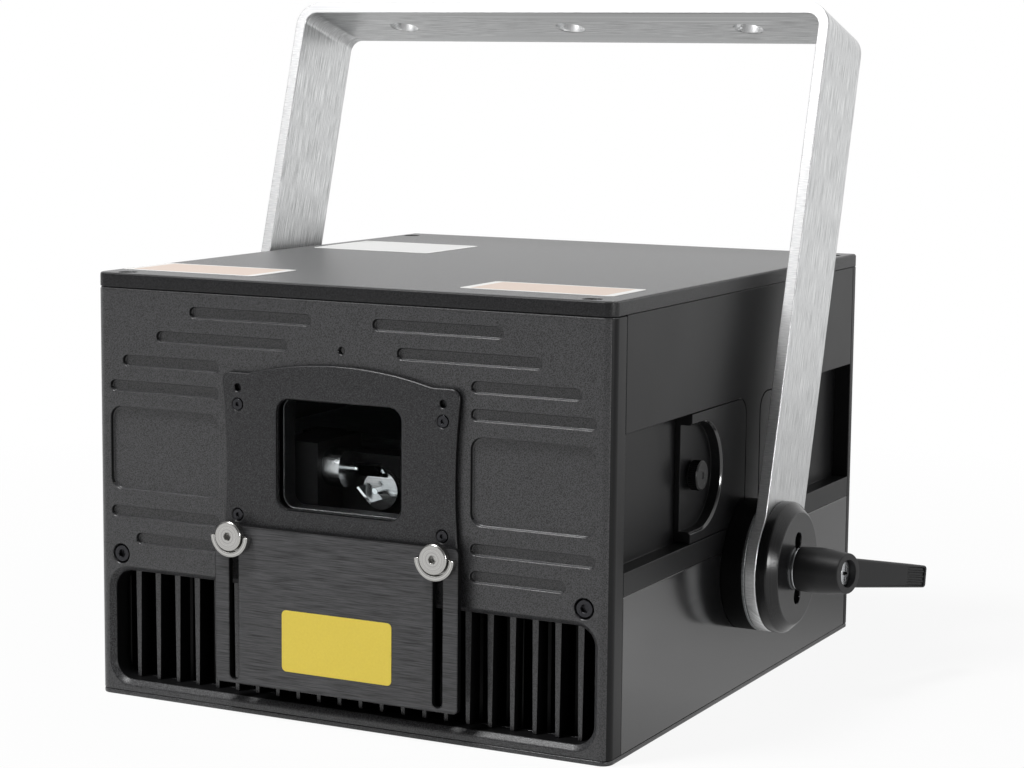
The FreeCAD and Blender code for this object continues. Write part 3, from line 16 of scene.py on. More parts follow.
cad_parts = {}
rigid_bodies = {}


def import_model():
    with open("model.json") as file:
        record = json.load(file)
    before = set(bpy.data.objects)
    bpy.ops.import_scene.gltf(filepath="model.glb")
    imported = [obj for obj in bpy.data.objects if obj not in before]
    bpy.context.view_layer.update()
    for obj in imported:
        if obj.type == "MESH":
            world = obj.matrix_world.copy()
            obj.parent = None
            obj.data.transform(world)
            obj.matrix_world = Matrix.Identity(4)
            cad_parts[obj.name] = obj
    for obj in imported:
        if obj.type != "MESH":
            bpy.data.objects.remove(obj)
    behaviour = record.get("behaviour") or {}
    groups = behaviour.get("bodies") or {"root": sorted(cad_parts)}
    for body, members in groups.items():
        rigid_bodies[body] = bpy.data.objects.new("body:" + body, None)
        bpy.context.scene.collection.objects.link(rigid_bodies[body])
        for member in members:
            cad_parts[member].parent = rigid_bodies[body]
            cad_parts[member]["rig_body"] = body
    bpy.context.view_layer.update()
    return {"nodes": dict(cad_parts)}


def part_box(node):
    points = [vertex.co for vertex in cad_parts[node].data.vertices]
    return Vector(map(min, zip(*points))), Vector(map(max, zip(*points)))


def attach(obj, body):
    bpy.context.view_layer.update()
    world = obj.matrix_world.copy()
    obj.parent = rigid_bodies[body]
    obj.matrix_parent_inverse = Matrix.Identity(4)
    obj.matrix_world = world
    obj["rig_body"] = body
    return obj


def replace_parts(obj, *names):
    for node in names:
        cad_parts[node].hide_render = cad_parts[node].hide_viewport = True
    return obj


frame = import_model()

MM = 0.001

# %% [markdown]
# ## The camera
# The photograph's camera was worked out from the edges of the box: where it stood, how it was turned and how long its
# lens was, in pixels. A track-to constraint would also point a camera, but it can't roll it, so the three axes are
# written out: right along the ground, back away from the object, and up square to both.

# %% Place the camera
PHOTO_WIDTH = 1024
FOCAL_PIXELS = 2480.3
SENSOR_WIDTH = 36.0
CAMERA_AT = Vector((0.4986, -0.9684, 0.2681))
AZIMUTH, ELEVATION, ROLL = radians(26.92), radians(7.54), radians(0.56)

ground = Vector((cos(AZIMUTH), sin(AZIMUTH), 0))
back = Vector((sin(AZIMUTH) * cos(ELEVATION), -cos(AZIMUTH) * cos(ELEVATION), sin(ELEVATION)))
above = back.cross(ground)
right = ground * cos(ROLL) + above * sin(ROLL)
up = above * cos(ROLL) - ground * sin(ROLL)

camera = bpy.data.objects.new("camera", bpy.data.cameras.new("camera"))
camera.data.sensor_fit = "HORIZONTAL"
camera.data.sensor_width = SENSOR_WIDTH
camera.data.lens = FOCAL_PIXELS / PHOTO_WIDTH * SENSOR_WIDTH
camera.matrix_world = Matrix.Translation(CAMERA_AT) @ Matrix((right, up, back)).transposed().to_4x4()
bpy.context.scene.collection.objects.link(camera)
bpy.context.scene.camera = camera
print("camera lens:", round(camera.data.lens, 1), "mm")

# %% [markdown]
# ## Colours and nodes
# Colours are easiest to judge as the hex values that a picture shows, but shaders add light up in linear values, so one
# function converts them. A second small function adds a shader node: its settings are its own properties, and each
# of its sockets gets either a number or the output that feeds it.


# %% Helpers for materials
def linear(hex_value):
    """Turn an sRGB hex colour into linear RGBA: the low end is a straight line, the rest a power of 2.4."""
    srgb = np.array([int(hex_value[i:i + 2], 16) for i in (1, 3, 5)]) / 255
    return (*np.where(srgb <= 0.04045, srgb / 12.92, ((srgb + 0.055) / 1.055) ** 2.4), 1.0)


def add(material, kind, sockets=(), **settings):
    """Add one shader node, set its properties, and fill or link its sockets."""
    tree = material.node_tree
    shader_node = tree.nodes.new(kind)
    for name, setting in settings.items():
        setattr(shader_node, name, setting)
    for name, content in dict(sockets).items():
        if isinstance(content, bpy.types.NodeSocket):
            tree.links.new(content, shader_node.inputs[name])
        else:
            shader_node.inputs[name].default_value = content
    return shader_node


def new_material(name):
    """Start a material with no nodes in it."""
    material = bpy.data.materials.new(name)
    material.use_nodes = True
    material.node_tree.nodes.clear()
    return material


ODD_ANGLES = (0.5, 0.7, 0.3)


def noise_place(material):
    """The object's own coordinates, turned by odd angles: noise is built on a lattice and fades on planes along it."""
    place = add(material, "ShaderNodeTexCoord").outputs["Object"]
    return add(material, "ShaderNodeMapping", {"Vector": place, "Rotation": ODD_ANGLES}).outputs[0]


def show(material, shader):
    """Send a shader to the material's output and return the material."""
    add(material, "ShaderNodeOutputMaterial", {"Surface": shader.outputs[0]})
    print("finish:", material.name)
    return material


# Sockets of a colour Mix node, which has one set of inputs for each kind of value
FACTOR, FIRST, SECOND, MIXED = 0, 6, 7, 2

# %% [markdown]
# ## Bead-blasted black anodised aluminium
# The front, the grille, the window plate, the lid and the base are aluminium, blasted with glass beads and dyed black.
# The blasting leaves a skin of tiny dents, so the surface looks like dark grey felt with single bright specks, and has
# no sharp reflection. A bump from fine noise does that. Real dents are about 0.1 mm, under a pixel here, so they are
# drawn at about 0.5 mm to show at all. The lid's edge and the rim of the grille's opening are milled, and get the same
# recipe with less contrast and less gloss.


# %% Bead-blasted finish
def blasted_anodising(name, dark, light, grain, roughness, gloss, spread=0.1):
    """Noise of one grain size moves the colour between two greys, and bends the normal as the dents do."""
    material = new_material(name)
    place = noise_place(material)
    dents = add(material, "ShaderNodeTexNoise", {"Vector": place, "Scale": 1 / grain, "Detail": 3.0, "Roughness": 0.7})
    specks = add(material, "ShaderNodeMapRange", {"Value": dents.outputs[0], "From Min": 0.4, "From Max": 0.66})
    colour = add(material, "ShaderNodeMix", {FACTOR: specks.outputs[0], FIRST: linear(dark), SECOND: linear(light)},
                 data_type="RGBA")
    rough = add(material, "ShaderNodeMapRange", {"Value": dents.outputs[0], "To Min": roughness + spread,
                                                 "To Max": roughness - spread})
    bump = add(material, "ShaderNodeBump", {"Height": dents.outputs[0], "Strength": 0.8, "Distance": 0.08 * MM})
    shader = add(material, "ShaderNodeBsdfPrincipled", {
        "Base Color": colour.outputs[MIXED], "Roughness": rough.outputs[0], "Normal": bump.outputs[0],
        "Specular IOR Level": gloss})
    return show(material, shader)


front_black = blasted_anodising("bead_blasted_black_anodised_aluminium", "#0a0a0b", "#505052", 0.45 * MM, 0.3, 0.58)
plate_black = blasted_anodising("fine_blasted_black_anodised_plate", "#08080a", "#404042", 0.45 * MM, 0.36, 0.4)
lid_black = blasted_anodising("satin_black_anodised_aluminium_lid", "#121213", "#38383a", 0.45 * MM, 0.34, 0.75)
lid_edge_black = blasted_anodising("milled_black_anodised_lid_edge", "#0a0a0b", "#2c2c2e", 0.5 * MM, 0.38, 0.3)
rim_black = blasted_anodising("milled_black_anodised_rim", "#161617", "#4e4e50", 0.5 * MM, 0.36, 0.28)

# %% [markdown]
# ## Satin black side panels
# The sides and the back are finer than the front: the same dye on metal that was only lightly blasted, so they show a
# soft, long gradient of the room. A much weaker bump gives that, and a broad, faint unevenness of 40 mm keeps the large
# flat panels from looking like cut paper. The lower panels are smoother and glossier, and the knobs darker.

# %% Satin side finish
SKIN, CLOUDS = 0.7 * MM, 40 * MM


def satin_anodising(name, dark, light, roughness, gloss, spread=0.05):
    """Fine noise for the blasted skin, broad noise for the uneven dye and the way it takes the light."""
    material = new_material(name)
    place = noise_place(material)
    skin = add(material, "ShaderNodeTexNoise", {"Vector": place, "Scale": 1 / SKIN, "Detail": 2.0})
    clouds = add(material, "ShaderNodeTexNoise", {"Vector": place, "Scale": 1 / CLOUDS, "Detail": 3.0})
    colour = add(material, "ShaderNodeMix", {FACTOR: skin.outputs[0], FIRST: linear(dark), SECOND: linear(light)},
                 data_type="RGBA")
    rough = add(material, "ShaderNodeMapRange", {"Value": clouds.outputs[0], "To Min": roughness - spread,
                                                 "To Max": roughness + spread})
    bump = add(material, "ShaderNodeBump", {"Height": skin.outputs[0], "Strength": 0.12, "Distance": 0.04 * MM})
    shader = add(material, "ShaderNodeBsdfPrincipled", {
        "Base Color": colour.outputs[MIXED], "Roughness": rough.outputs[0], "Normal": bump.outputs[0],
        "Specular IOR Level": gloss})
    return show(material, shader)


side_black = satin_anodising("satin_black_anodised_side", "#121213", "#1e1e1f", 0.34, 0.16)
lower_black = satin_anodising("smooth_black_anodised_lower_side", "#1b1b1c", "#252526", 0.15, 0.76)
knob_black = satin_anodising("black_anodised_knurling", "#070708", "#0e0e0f", 0.32, 0.25)

# %% [markdown]
# ## Brushed metal
# The yoke is bare aluminium bar, brushed along its length. The shutter is brushed across and then dyed black. Brushing
# leaves hairlines that are far longer than they are wide, so the noise is stretched: one cell is 14 mm along the grain
# and under half a millimetre across it. On the yoke the grain turns with the bar at the bends, so it can't follow
# the object's own axes, and reads a UV map that measures along the bar and across it. The yoke's sawn edges have short
# lines across the bar, and the milled metal inside has coarser ones.


# %% Brushed finishes
def brushed_metal(name, dark, light, metallic, roughness, grain, uv_map=None, depth=0.02, spread=0.07):
    """Noise stretched by the grain's length and width moves the colour, the roughness and the normal."""
    material = new_material(name)
    if uv_map:
        place = add(material, "ShaderNodeUVMap", uv_map=uv_map).outputs[0]
    else:
        place = add(material, "ShaderNodeTexCoord").outputs["Object"]
    scale = [1 / size for size in grain]
    stretch = add(material, "ShaderNodeMapping", {"Vector": place, "Scale": scale})
    lines = add(material, "ShaderNodeTexNoise", {"Vector": stretch.outputs[0], "Scale": 1.0, "Detail": 4.0,
                                                 "Roughness": 0.65})
    strong = add(material, "ShaderNodeMapRange", {"Value": lines.outputs[0], "From Min": 0.3, "From Max": 0.7})
    colour = add(material, "ShaderNodeMix", {FACTOR: strong.outputs[0], FIRST: linear(dark), SECOND: linear(light)},
                 data_type="RGBA")
    rough = add(material, "ShaderNodeMapRange", {"Value": strong.outputs[0], "To Min": roughness + spread,
                                                 "To Max": roughness - spread})
    bump = add(material, "ShaderNodeBump", {"Height": lines.outputs[0], "Strength": 0.3, "Distance": depth * MM})
    shader = add(material, "ShaderNodeBsdfPrincipled", {
        "Base Color": colour.outputs[MIXED], "Metallic": metallic, "Roughness": rough.outputs[0],
        "Normal": bump.outputs[0]})
    return show(material, shader)


yoke_metal = brushed_metal("brushed_aluminium_bar", "#939495", "#f4f5f5", 1.0, 0.36, (14 * MM, 0.4 * MM, 1),
                           uv_map="grain")
shutter_black = brushed_metal("brushed_black_anodised_shutter", "#08080a", "#505052", 0.0, 0.34,
                              (14 * MM, 1, 0.45 * MM), depth=0.04)
yoke_edge = brushed_metal("sawn_aluminium_edge", "#cacbcc", "#ececec", 0.74, 0.37, (0.5 * MM, 5 * MM, 1),
                          uv_map="grain")
inner_metal = brushed_metal("milled_aluminium", "#7d7f80", "#a9abac", 1.0, 0.4, (12 * MM, 0.8 * MM, 0.8 * MM))

# %% [markdown]
# ## Turned metal
# The hub discs, the clamp screws and the galvanometer barrels came off a lathe, and the tool leaves rings round the
# axis. A ring pattern needs the distance from the axis, so the object's place is moved to the axis, the part along it
# is dropped, and the length of what is left drives the noise. Pieces that come in mirrored pairs share one axis by
# taking the larger of x and -x first.


# %% Turned finishes
def turned_metal(name, dark, light, metallic, roughness, axis_point, across, ring, gloss=0.5, spread=0.06):
    """Noise over the distance from an axis: (|x|, y, z) less the axis point, kept only across the axis."""
    material = new_material(name)
    place = add(material, "ShaderNodeTexCoord").outputs["Object"]
    flipped = add(material, "ShaderNodeVectorMath", {0: place, 1: (-1, 1, 1)}, operation="MULTIPLY")
    folded = add(material, "ShaderNodeVectorMath", {0: place, 1: flipped.outputs[0]}, operation="MAXIMUM")
    moved = add(material, "ShaderNodeVectorMath", {0: folded.outputs[0], 1: axis_point}, operation="SUBTRACT")
    flat = add(material, "ShaderNodeVectorMath", {0: moved.outputs[0], 1: across}, operation="MULTIPLY")
    radius = add(material, "ShaderNodeVectorMath", {0: flat.outputs[0]}, operation="LENGTH")
    rings = add(material, "ShaderNodeTexNoise", {"W": radius.outputs["Value"], "Scale": 1 / ring, "Detail": 3.0},
                noise_dimensions="1D")
    colour = add(material, "ShaderNodeMix", {FACTOR: rings.outputs[0], FIRST: linear(dark), SECOND: linear(light)},
                 data_type="RGBA")
    rough = add(material, "ShaderNodeMapRange", {"Value": rings.outputs[0], "To Min": roughness + spread,
                                                 "To Max": roughness - spread})
    bump = add(material, "ShaderNodeBump", {"Height": rings.outputs[0], "Strength": 0.3, "Distance": 0.02 * MM})
    shader = add(material, "ShaderNodeBsdfPrincipled", {
        "Base Color": colour.outputs[MIXED], "Metallic": metallic, "Roughness": rough.outputs[0],
        "Normal": bump.outputs[0], "Specular IOR Level": gloss})
    return show(material, shader)


HUB_AXIS = (0.0, 2 * MM, 55 * MM)
CLAMP_AXIS = (47 * MM, 0.0, 75.3 * MM)
LEVEL_GALVO_AXIS = (0.0, -109 * MM, 101 * MM)
ACROSS_X, ACROSS_Y = (0, 1, 1), (1, 0, 1)
# The spacers' near-black is their own black plus painted shade, for the yoke's shadow on them; the same near-black is
# the painted shade in each lever screw's cross recess
spacer_black_and_shade = turned_metal("turned_black_spacer_and_painted_shade", "#030303", "#080809", 0.0, 0.5, HUB_AXIS, ACROSS_X, 0.5 * MM,
                            gloss=0.08)
hub_black = turned_metal("turned_black_anodised_hub", "#101011", "#262627", 0.0, 0.24, HUB_AXIS, ACROSS_X, 0.5 * MM,
                         gloss=0.33)
clamp_bright = turned_metal("turned_nickel_plated_clamp", "#8c8b89", "#d0cfcc", 1.0, 0.24, CLAMP_AXIS, ACROSS_Y,
                            0.5 * MM)
zinc = turned_metal("zinc_plated_steel", "#bfc2c5", "#e6e8ea", 1.0, 0.25, HUB_AXIS, ACROSS_X, 0.6 * MM)
galvo_steel = turned_metal("turned_stainless_galvanometer", "#9fa0a2", "#dcddde", 1.0, 0.22, LEVEL_GALVO_AXIS,
                           ACROSS_X, 0.8 * MM)

# %% [markdown]
# ## Plastic, paint and small parts
# The lever, the fans and the power socket are moulded plastic with a fine spark-eroded texture from the mould. The
# same recipe, a grain that bends the normal and shifts a colour a little, also suits black oxide screws, matt optics,
# the circuit board's solder mask, brass, plated shells, the lens of the light, the mirrors and the yellow vinyl of one
# plate, so they share one function and differ in their colours, gloss and grain.


# %% Moulded, plated and painted finishes
def grained(name, dark, light, metallic, roughness, grain, depth, spread=0.05, **extra):
    """Noise of one grain size moves the colour between two values and bends the normal by its depth."""
    material = new_material(name)
    place = noise_place(material)
    texture = add(material, "ShaderNodeTexNoise", {"Vector": place, "Scale": 1 / grain, "Detail": 3.0})
    colour = add(material, "ShaderNodeMix", {FACTOR: texture.outputs[0], FIRST: linear(dark), SECOND: linear(light)},
                 data_type="RGBA")
    rough = add(material, "ShaderNodeMapRange", {"Value": texture.outputs[0], "To Min": roughness - spread,
                                                 "To Max": roughness + spread})
    bump = add(material, "ShaderNodeBump", {"Height": texture.outputs[0], "Strength": 0.3, "Distance": depth * MM})
    shader = add(material, "ShaderNodeBsdfPrincipled", {
        "Base Color": colour.outputs[MIXED], "Metallic": metallic, "Roughness": rough.outputs[0],
        "Normal": bump.outputs[0], **extra})
    return show(material, shader)


moulded_black = grained("moulded_black_nylon", "#1a1a1b", "#262627", 0.0, 0.45, 0.5 * MM, 0.03,
                        **{"Specular IOR Level": 0.3})
oxide_black = grained("black_oxide_steel", "#1c1c1e", "#3c3c40", 0.7, 0.22, 0.5 * MM, 0.01)
# Near-black for the black optics, and also painted shade on walls, seams, recesses and the inside of the box where
# shade falls
black_optics_and_shade = grained("matt_black_optics_and_painted_shade", "#040405", "#0a0a0b", 0.0, 0.5, 0.6 * MM, 0.03,
                       **{"Specular IOR Level": 0.2})
board_green = grained("solder_mask_circuit_board", "#0f3a24", "#1d5a37", 0.0, 0.35, 1.5 * MM, 0.03)
brass = grained("turned_brass", "#a98642", "#cfae68", 1.0, 0.28, 0.6 * MM, 0.01)
plated = grained("nickel_plated_shell", "#9c9b98", "#c9c8c5", 1.0, 0.26, 0.8 * MM, 0.01)
smoked_lens = grained("smoked_indicator_lens", "#050505", "#0b0a0a", 0.0, 0.12, 1.0 * MM, 0.005)
silvered = grained("silvered_scan_mirror", "#dfe4e6", "#f2f5f6", 1.0, 0.07, 2 * MM, 0.002)
plate_yellow = grained("yellow_vinyl_plate", "#e3c949", "#edd553", 0.0, 0.4, 0.8 * MM, 0.01)

# %% [markdown]
# ## The window
# The window is a flat sheet of glass with an anti-reflection coating, which is why it looks like an open hole. Plain
# glass has an IOR of 1.5 and would mirror the floor, so the IOR is 1.05, which reflects almost nothing, as the coated
# surface does. Cycles treats the shadow of glass as opaque unless caustics are traced, which would leave the scanners
# in the dark, so shadow rays pass it freely. Smudges about 9 mm wide make it a trace less smooth.

# %% Window glass
COATED_IOR, SMUDGE = 1.05, 9 * MM
window_clear = new_material("coated_float_glass")
smudges = add(window_clear, "ShaderNodeTexNoise", {
    "Vector": add(window_clear, "ShaderNodeTexCoord").outputs["Object"], "Scale": 1 / SMUDGE, "Detail": 4.0})
haze = add(window_clear, "ShaderNodeMapRange", {"Value": smudges.outputs[0], "To Min": 0.0, "To Max": 0.01})
sheet = add(window_clear, "ShaderNodeBsdfPrincipled", {
    "Base Color": linear("#fbfdfd"), "Roughness": haze.outputs[0], "Transmission Weight": 1.0, "IOR": COATED_IOR})
clear = add(window_clear, "ShaderNodeBsdfTransparent")
shadow = add(window_clear, "ShaderNodeLightPath").outputs["Is Shadow Ray"]
show(window_clear, add(window_clear, "ShaderNodeMixShader", {0: shadow, 1: sheet.outputs[0], 2: clear.outputs[0]}))

# %% [markdown]
# ## Broken edges
# No machined edge is perfectly sharp: some tenths of a millimetre are always taken off, and that thin band is what
# catches the light and draws the bright line round every plate. A solid model leaves those edges sharp. Each node's
# mesh is loose triangles, so a copy is merged, its flat faces are joined, and a Bevel modifier breaks every edge that
# turns by more than 30 degrees. Normals weighted by area keep the flat faces flat up to the band.

# %% A copy with broken edges
WELD = 0.002 * MM
FLAT = radians(0.3)
SHARP = radians(30)
EDGE_SEGMENTS = 2
AREA_WEIGHT = 100


def finish_node(name, material, edge):
    """Copy a node, merge its triangles, break its edges by a width and give the copy a finish and the node's body."""
    source = frame["nodes"][name]
    mesh = bpy.data.meshes.new(f"{name}_finished")
    work = bmesh.new()
    work.from_mesh(source.data)
    bmesh.ops.remove_doubles(work, verts=work.verts, dist=WELD)
    bmesh.ops.dissolve_limit(work, angle_limit=FLAT, verts=work.verts, edges=work.edges)
    work.to_mesh(mesh)
    work.free()
    if "custom_normal" in mesh.attributes:
        mesh.attributes.remove(mesh.attributes["custom_normal"])
    mesh.materials.clear()
    mesh.materials.append(material)
    mesh.shade_smooth()
    piece = bpy.data.objects.new(mesh.name, mesh)
    bpy.context.scene.collection.objects.link(piece)
    band = piece.modifiers.new("broken_edge", "BEVEL")
    band.width = edge * MM
    band.segments = EDGE_SEGMENTS
    band.limit_method = "ANGLE"
    band.angle_limit = SHARP
    band.use_clamp_overlap = False
    band.loop_slide = False
    facing = piece.modifiers.new("flat_faces", "WEIGHTED_NORMAL")
    facing.weight = AREA_WEIGHT
    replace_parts(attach(piece, source["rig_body"]), name)
    return piece


# %% [markdown]
# ## The finish and edge of every outer piece
# Each finish is listed with its pieces, and each piece with the width of its broken edge in millimetres. Plates and
# panels lose 0.4 to 0.7 mm, screws and small turned parts 0.15 to 0.35 mm. One table keeps all of them in sight, where
# a call for each piece would hide which finishes are shared.

# %% Break the edges of the solids
EDGES = {
    front_black: {"front_panel": 0.5, "intake_grille": 0.2, "base_plate": 0.5},
    plate_black: {"window_plate": 0.7},
    lid_black: {"lid": 0.5},
    side_black: {"right_side_panel": 0.4, "left_side_panel": 0.4, "right_front_block": 0.25, "right_rear_block": 0.25,
                 "left_front_block": 0.25, "left_rear_block": 0.25, "rear_panel": 0.4},
    lower_black: {"right_lower_panel": 0.5, "left_lower_panel": 0.5},
    shutter_black: {"shutter_plate": 0.4},
    yoke_metal: {"yoke": 0.5},
    spacer_black_and_shade: {"hub_spacers": 0.4},
    hub_black: {"right_hub_disc": 0.5, "left_hub_disc": 0.5},
    clamp_bright: {"right_shutter_screw": 0.2, "left_shutter_screw": 0.2, "shutter_saddles": 0.25},
    zinc: {"right_lever_insert": 0.15, "left_lever_insert": 0.15, "right_lever_screw": 0.15,
           "left_lever_screw": 0.15},
    oxide_black: {"front_panel_screws": 0.35, "window_screws": 0.15, "lid_screws": 0.15},
    inner_metal: {"friction_washers": 0.15},
    moulded_black: {"right_lever_handle": 0.3, "left_lever_handle": 0.3, "power_inlet": 0.3, "fan_frames": 0.3,
                    "right_fan_rotor": 0.15, "left_fan_rotor": 0.15},
    plated: {"show_connector": 0.2, "key_switch": 0.25, "key_barrel": 0.2},
}
finished = {name: finish_node(name, material, edge)
            for material, edges in EDGES.items() for name, edge in edges.items()}
print("edges broken on", len(finished), "pieces")

# %% [markdown]
# ## Two finishes on one solid
# Some solids show two finishes, or a finish and painted shade, but their faces belong to one mesh. A copy gets a second
# material, and a test of each face's middle, in millimetres, and of its normal picks the faces that take it. The test
# works on all faces at once.

# %% Give some faces a second finish
# A normal's share along an axis: 1 is straight along it, 0 is square to it
ALONG, DIAGONAL, HALF_WAY = 0.9, 0.7, 0.5


def second_finish_or_shade(name, material, test):
    """Give a second material to the faces of a copy whose middle and normal, as rows x, y, z, pass the test."""
    mesh = finished[name].data
    middles, normals = np.empty((2, len(mesh.polygons) * 3), np.float32)
    mesh.polygons.foreach_get("center", middles)
    mesh.polygons.foreach_get("normal", normals)
    picked = test(middles.reshape(-1, 3).T / MM, normals.reshape(-1, 3).T)
    slots = np.empty(len(picked), np.int32)
    mesh.polygons.foreach_get("material_index", slots)
    slots[picked] = len(mesh.materials)
    mesh.materials.append(material)
    mesh.polygons.foreach_set("material_index", slots)
    print(name, "second finish on", int(picked.sum()), "of", len(picked), "faces")


# %% [markdown]
# ## The front panel's openings, slots and sides
# The walls of the front's openings and slots get the near-black of the optics as painted shade, for the shade that
# falls inside them, and so does its bottom face, as painted shade in the seam at the base plate. The sloping rim of the
# grille's opening is milled, and smoother than the front. The side faces match the side panels. The limits in the
# tests, in millimetres, lie between the faces that are meant and their neighbours.

# %% Pick faces of the front panel
WINDOW_HALF, WINDOW_FOOT, WINDOW_TOP, WINDOW_FRONT = 28.4, 87.2, 131.6, -131.9
GRILLE_HALF, GRILLE_FOOT, GRILLE_TOP, GRILLE_FRONT = 110.9, 6.7, 53.4, -132.7
OPENINGS_BACK = -123.6
SLOT_HALF, SLOT_FOOT, SLOT_FRONT, SLOT_BACK = 112, 66, -134.9, -133.4
RIM_FOOT, RIM_TOP, RIM_STEEPEST = 4, 56, 0.4
PANEL_FOOT, PANEL_SIDE = 3, 114


def in_openings(middle, normal):
    """The walls behind the glass in the window's opening, and behind the bevel in the grille's."""
    x, y, z = middle
    window = (np.abs(x) < WINDOW_HALF) & (z > WINDOW_FOOT) & (z < WINDOW_TOP) & (y > WINDOW_FRONT)
    grille = (np.abs(x) < GRILLE_HALF) & (z > GRILLE_FOOT) & (z < GRILLE_TOP) & (y > GRILLE_FRONT)
    return (window | grille) & (y < OPENINGS_BACK)


def in_slots(middle, normal):
    """The walls of the shallow slots and recesses, apart from those that face up."""
    x, y, z = middle
    wall = (np.abs(normal[1]) < HALF_WAY) & (normal[2] < HALF_WAY)
    return wall & (y > SLOT_FRONT) & (y < SLOT_BACK) & (z > SLOT_FOOT) & (np.abs(x) < SLOT_HALF)


def at_foot(middle, normal):
    """The bottom face, which points down into the seam at the base plate."""
    return (normal[2] < -ALONG) & (middle[2] < PANEL_FOOT)


def on_grille_rim(middle, normal):
    """The sloping rim round the grille's opening, which is at 45 degrees to the front."""
    y, z = middle[1:]
    sloping = (np.abs(normal[1]) > RIM_STEEPEST) & (np.abs(normal[1]) < ALONG)
    return sloping & (y < GRILLE_FRONT) & (z > RIM_FOOT) & (z < RIM_TOP)


def on_panel_sides(middle, normal):
    """The faces at both ends that point out to the sides more than they point anywhere else."""
    return (np.abs(middle[0]) > PANEL_SIDE) & (np.abs(normal[0]) > DIAGONAL)


# Painted shade: the walls of the openings and slots and the bottom face get the near-black of the optics
second_finish_or_shade("front_panel", black_optics_and_shade, in_openings)
second_finish_or_shade("front_panel", black_optics_and_shade, in_slots)
second_finish_or_shade("front_panel", black_optics_and_shade, at_foot)
second_finish_or_shade("front_panel", rim_black, on_grille_rim)
second_finish_or_shade("front_panel", side_black, on_panel_sides)

# %% [markdown]
# ## Seams, edges and bevels of the other pieces
# The faces that meet in the seams at the base plate and round the rear panel are painted near-black as painted shade,
# for the shade in the seams, and so are the lower panels' ends and inner faces, for the shade inside the box. The sides
# and backs of the grille bars, the window plate and the shutter are painted near-black too, as painted shade, but the
# window plate's broken edge keeps the finish of its face. The bevels of the blocks' pockets are polished, and the lid's
# milled edge is darker than its top. The yoke's narrow edges are sawn and not brushed, and the cross in each lever
# screw is painted near-black, as the shade in its recess.

# %% Pick faces of the other pieces
SIDE_PANEL_END = 125
BEVEL_SPREAD = 0.2
YOKE_LEAN = radians(16.6)
CROSS_FLOOR, CROSS_FACE, CROSS_REACH = 161.9, 162.9, 3.3


def on_pocket_bevel(middle, normal):
    """The faces that point about halfway between sideways and along the side."""
    return np.abs(np.abs(normal[0]) - DIAGONAL) < BEVEL_SPREAD


def on_narrow_edge(middle, normal):
    """The faces that point across the bar, which leans back about the hub."""
    return np.abs(normal[1] * cos(YOKE_LEAN) - normal[2] * sin(YOKE_LEAN)) > DIAGONAL


def in_cross(middle, normal):
    """Below the face of the screw's head and within the cross's reach of the hub's axis."""
    x, y, z = middle
    hub_y, hub_z = HUB_AXIS[1] / MM, HUB_AXIS[2] / MM
    below_face = (np.abs(x) > CROSS_FLOOR) & (np.abs(x) < CROSS_FACE)
    return below_face & (np.abs(y - hub_y) < CROSS_REACH) & (np.abs(z - hub_z) < CROSS_REACH)


# Painted shade: near-black in the seams, on the lower panels' ends and inner faces, and on the sides and backs of the
# bars and plates
second_finish_or_shade("base_plate", black_optics_and_shade, lambda middle, normal: normal[2] > ALONG)
second_finish_or_shade("rear_panel", black_optics_and_shade, lambda middle, normal: normal[1] < -ALONG)
for name in ("right_side_panel", "left_side_panel"):
    second_finish_or_shade(name, black_optics_and_shade, lambda middle, normal: (normal[1] > ALONG) & (middle[1] > SIDE_PANEL_END))
for name in ("right_lower_panel", "left_lower_panel"):
    second_finish_or_shade(name, black_optics_and_shade, lambda middle, normal: (np.abs(normal[1]) > ALONG) | (normal[0] * middle[0] < 0))
for name in EDGES[side_black]:
    if name.endswith("block"):
        second_finish_or_shade(name, lower_black, on_pocket_bevel)
for name in ("intake_grille", "window_plate", "shutter_plate"):
    second_finish_or_shade(name, black_optics_and_shade, lambda middle, normal: normal[1] > -HALF_WAY)
# The band of the window plate's edge takes the first material, that of its face
finished["window_plate"].modifiers["broken_edge"].material = 0
second_finish_or_shade("lid", lid_edge_black, lambda middle, normal: np.abs(normal[2]) < HALF_WAY)
second_finish_or_shade("yoke", yoke_edge, on_narrow_edge)
# Painted shade: the cross recess in each lever screw is near-black
for side in ("right", "left"):
    second_finish_or_shade(f"{side}_lever_screw", spacer_black_and_shade, in_cross)

# %% [markdown]
# ## Inside the box
# What hardly shows an edge, such as the optics behind the window, the glass itself and the small lens of the light,
# keeps its plain solids and only gets its finish, in the node's own material slot.

# %% Finish the inner pieces
INNER = {
    galvo_steel: ["horizontal_galvo", "vertical_galvo"],
    silvered: ["horizontal_mirror", "vertical_mirror", "beam_mirror"],
    # Black optics, and partly painted shade: the heatsink and the deck are near-black for the dark inside of the box
    black_optics_and_shade: ["scanner_block", "beam_mirror_mount", "laser_module", "optical_deck", "heatsink"],
    inner_metal: ["power_supply"],
    board_green: ["control_board"],
    brass: ["board_standoffs"],
    zinc: ["pivot_studs"],
    smoked_lens: ["emission_light"],
    window_clear: ["window_glass"],
}
for material, names in INNER.items():
    for name in names:
        frame["nodes"][name].data.materials[0] = material
print("inner pieces finished:", sum(map(len, INNER.values())))

# %% [markdown]
# ## The yoke's grain
# The brushed finish needs two measures at every corner of the yoke's mesh: how far along the bent bar it lies, and how
# far across. The yoke leans back about the hub, so its corners are first turned upright. Up the arm the distance is the
# height, round the bend it is the arc, and on top it is the way in towards the middle. Whole arrays and a choice
# between the three cases do this without a loop.

# %% Measure along the yoke
YOKE_REACH, YOKE_OUTER, YOKE_BEND = 240.7 * MM, 133.5 * MM, 10.5 * MM
NEARLY_ZERO = 1e-9


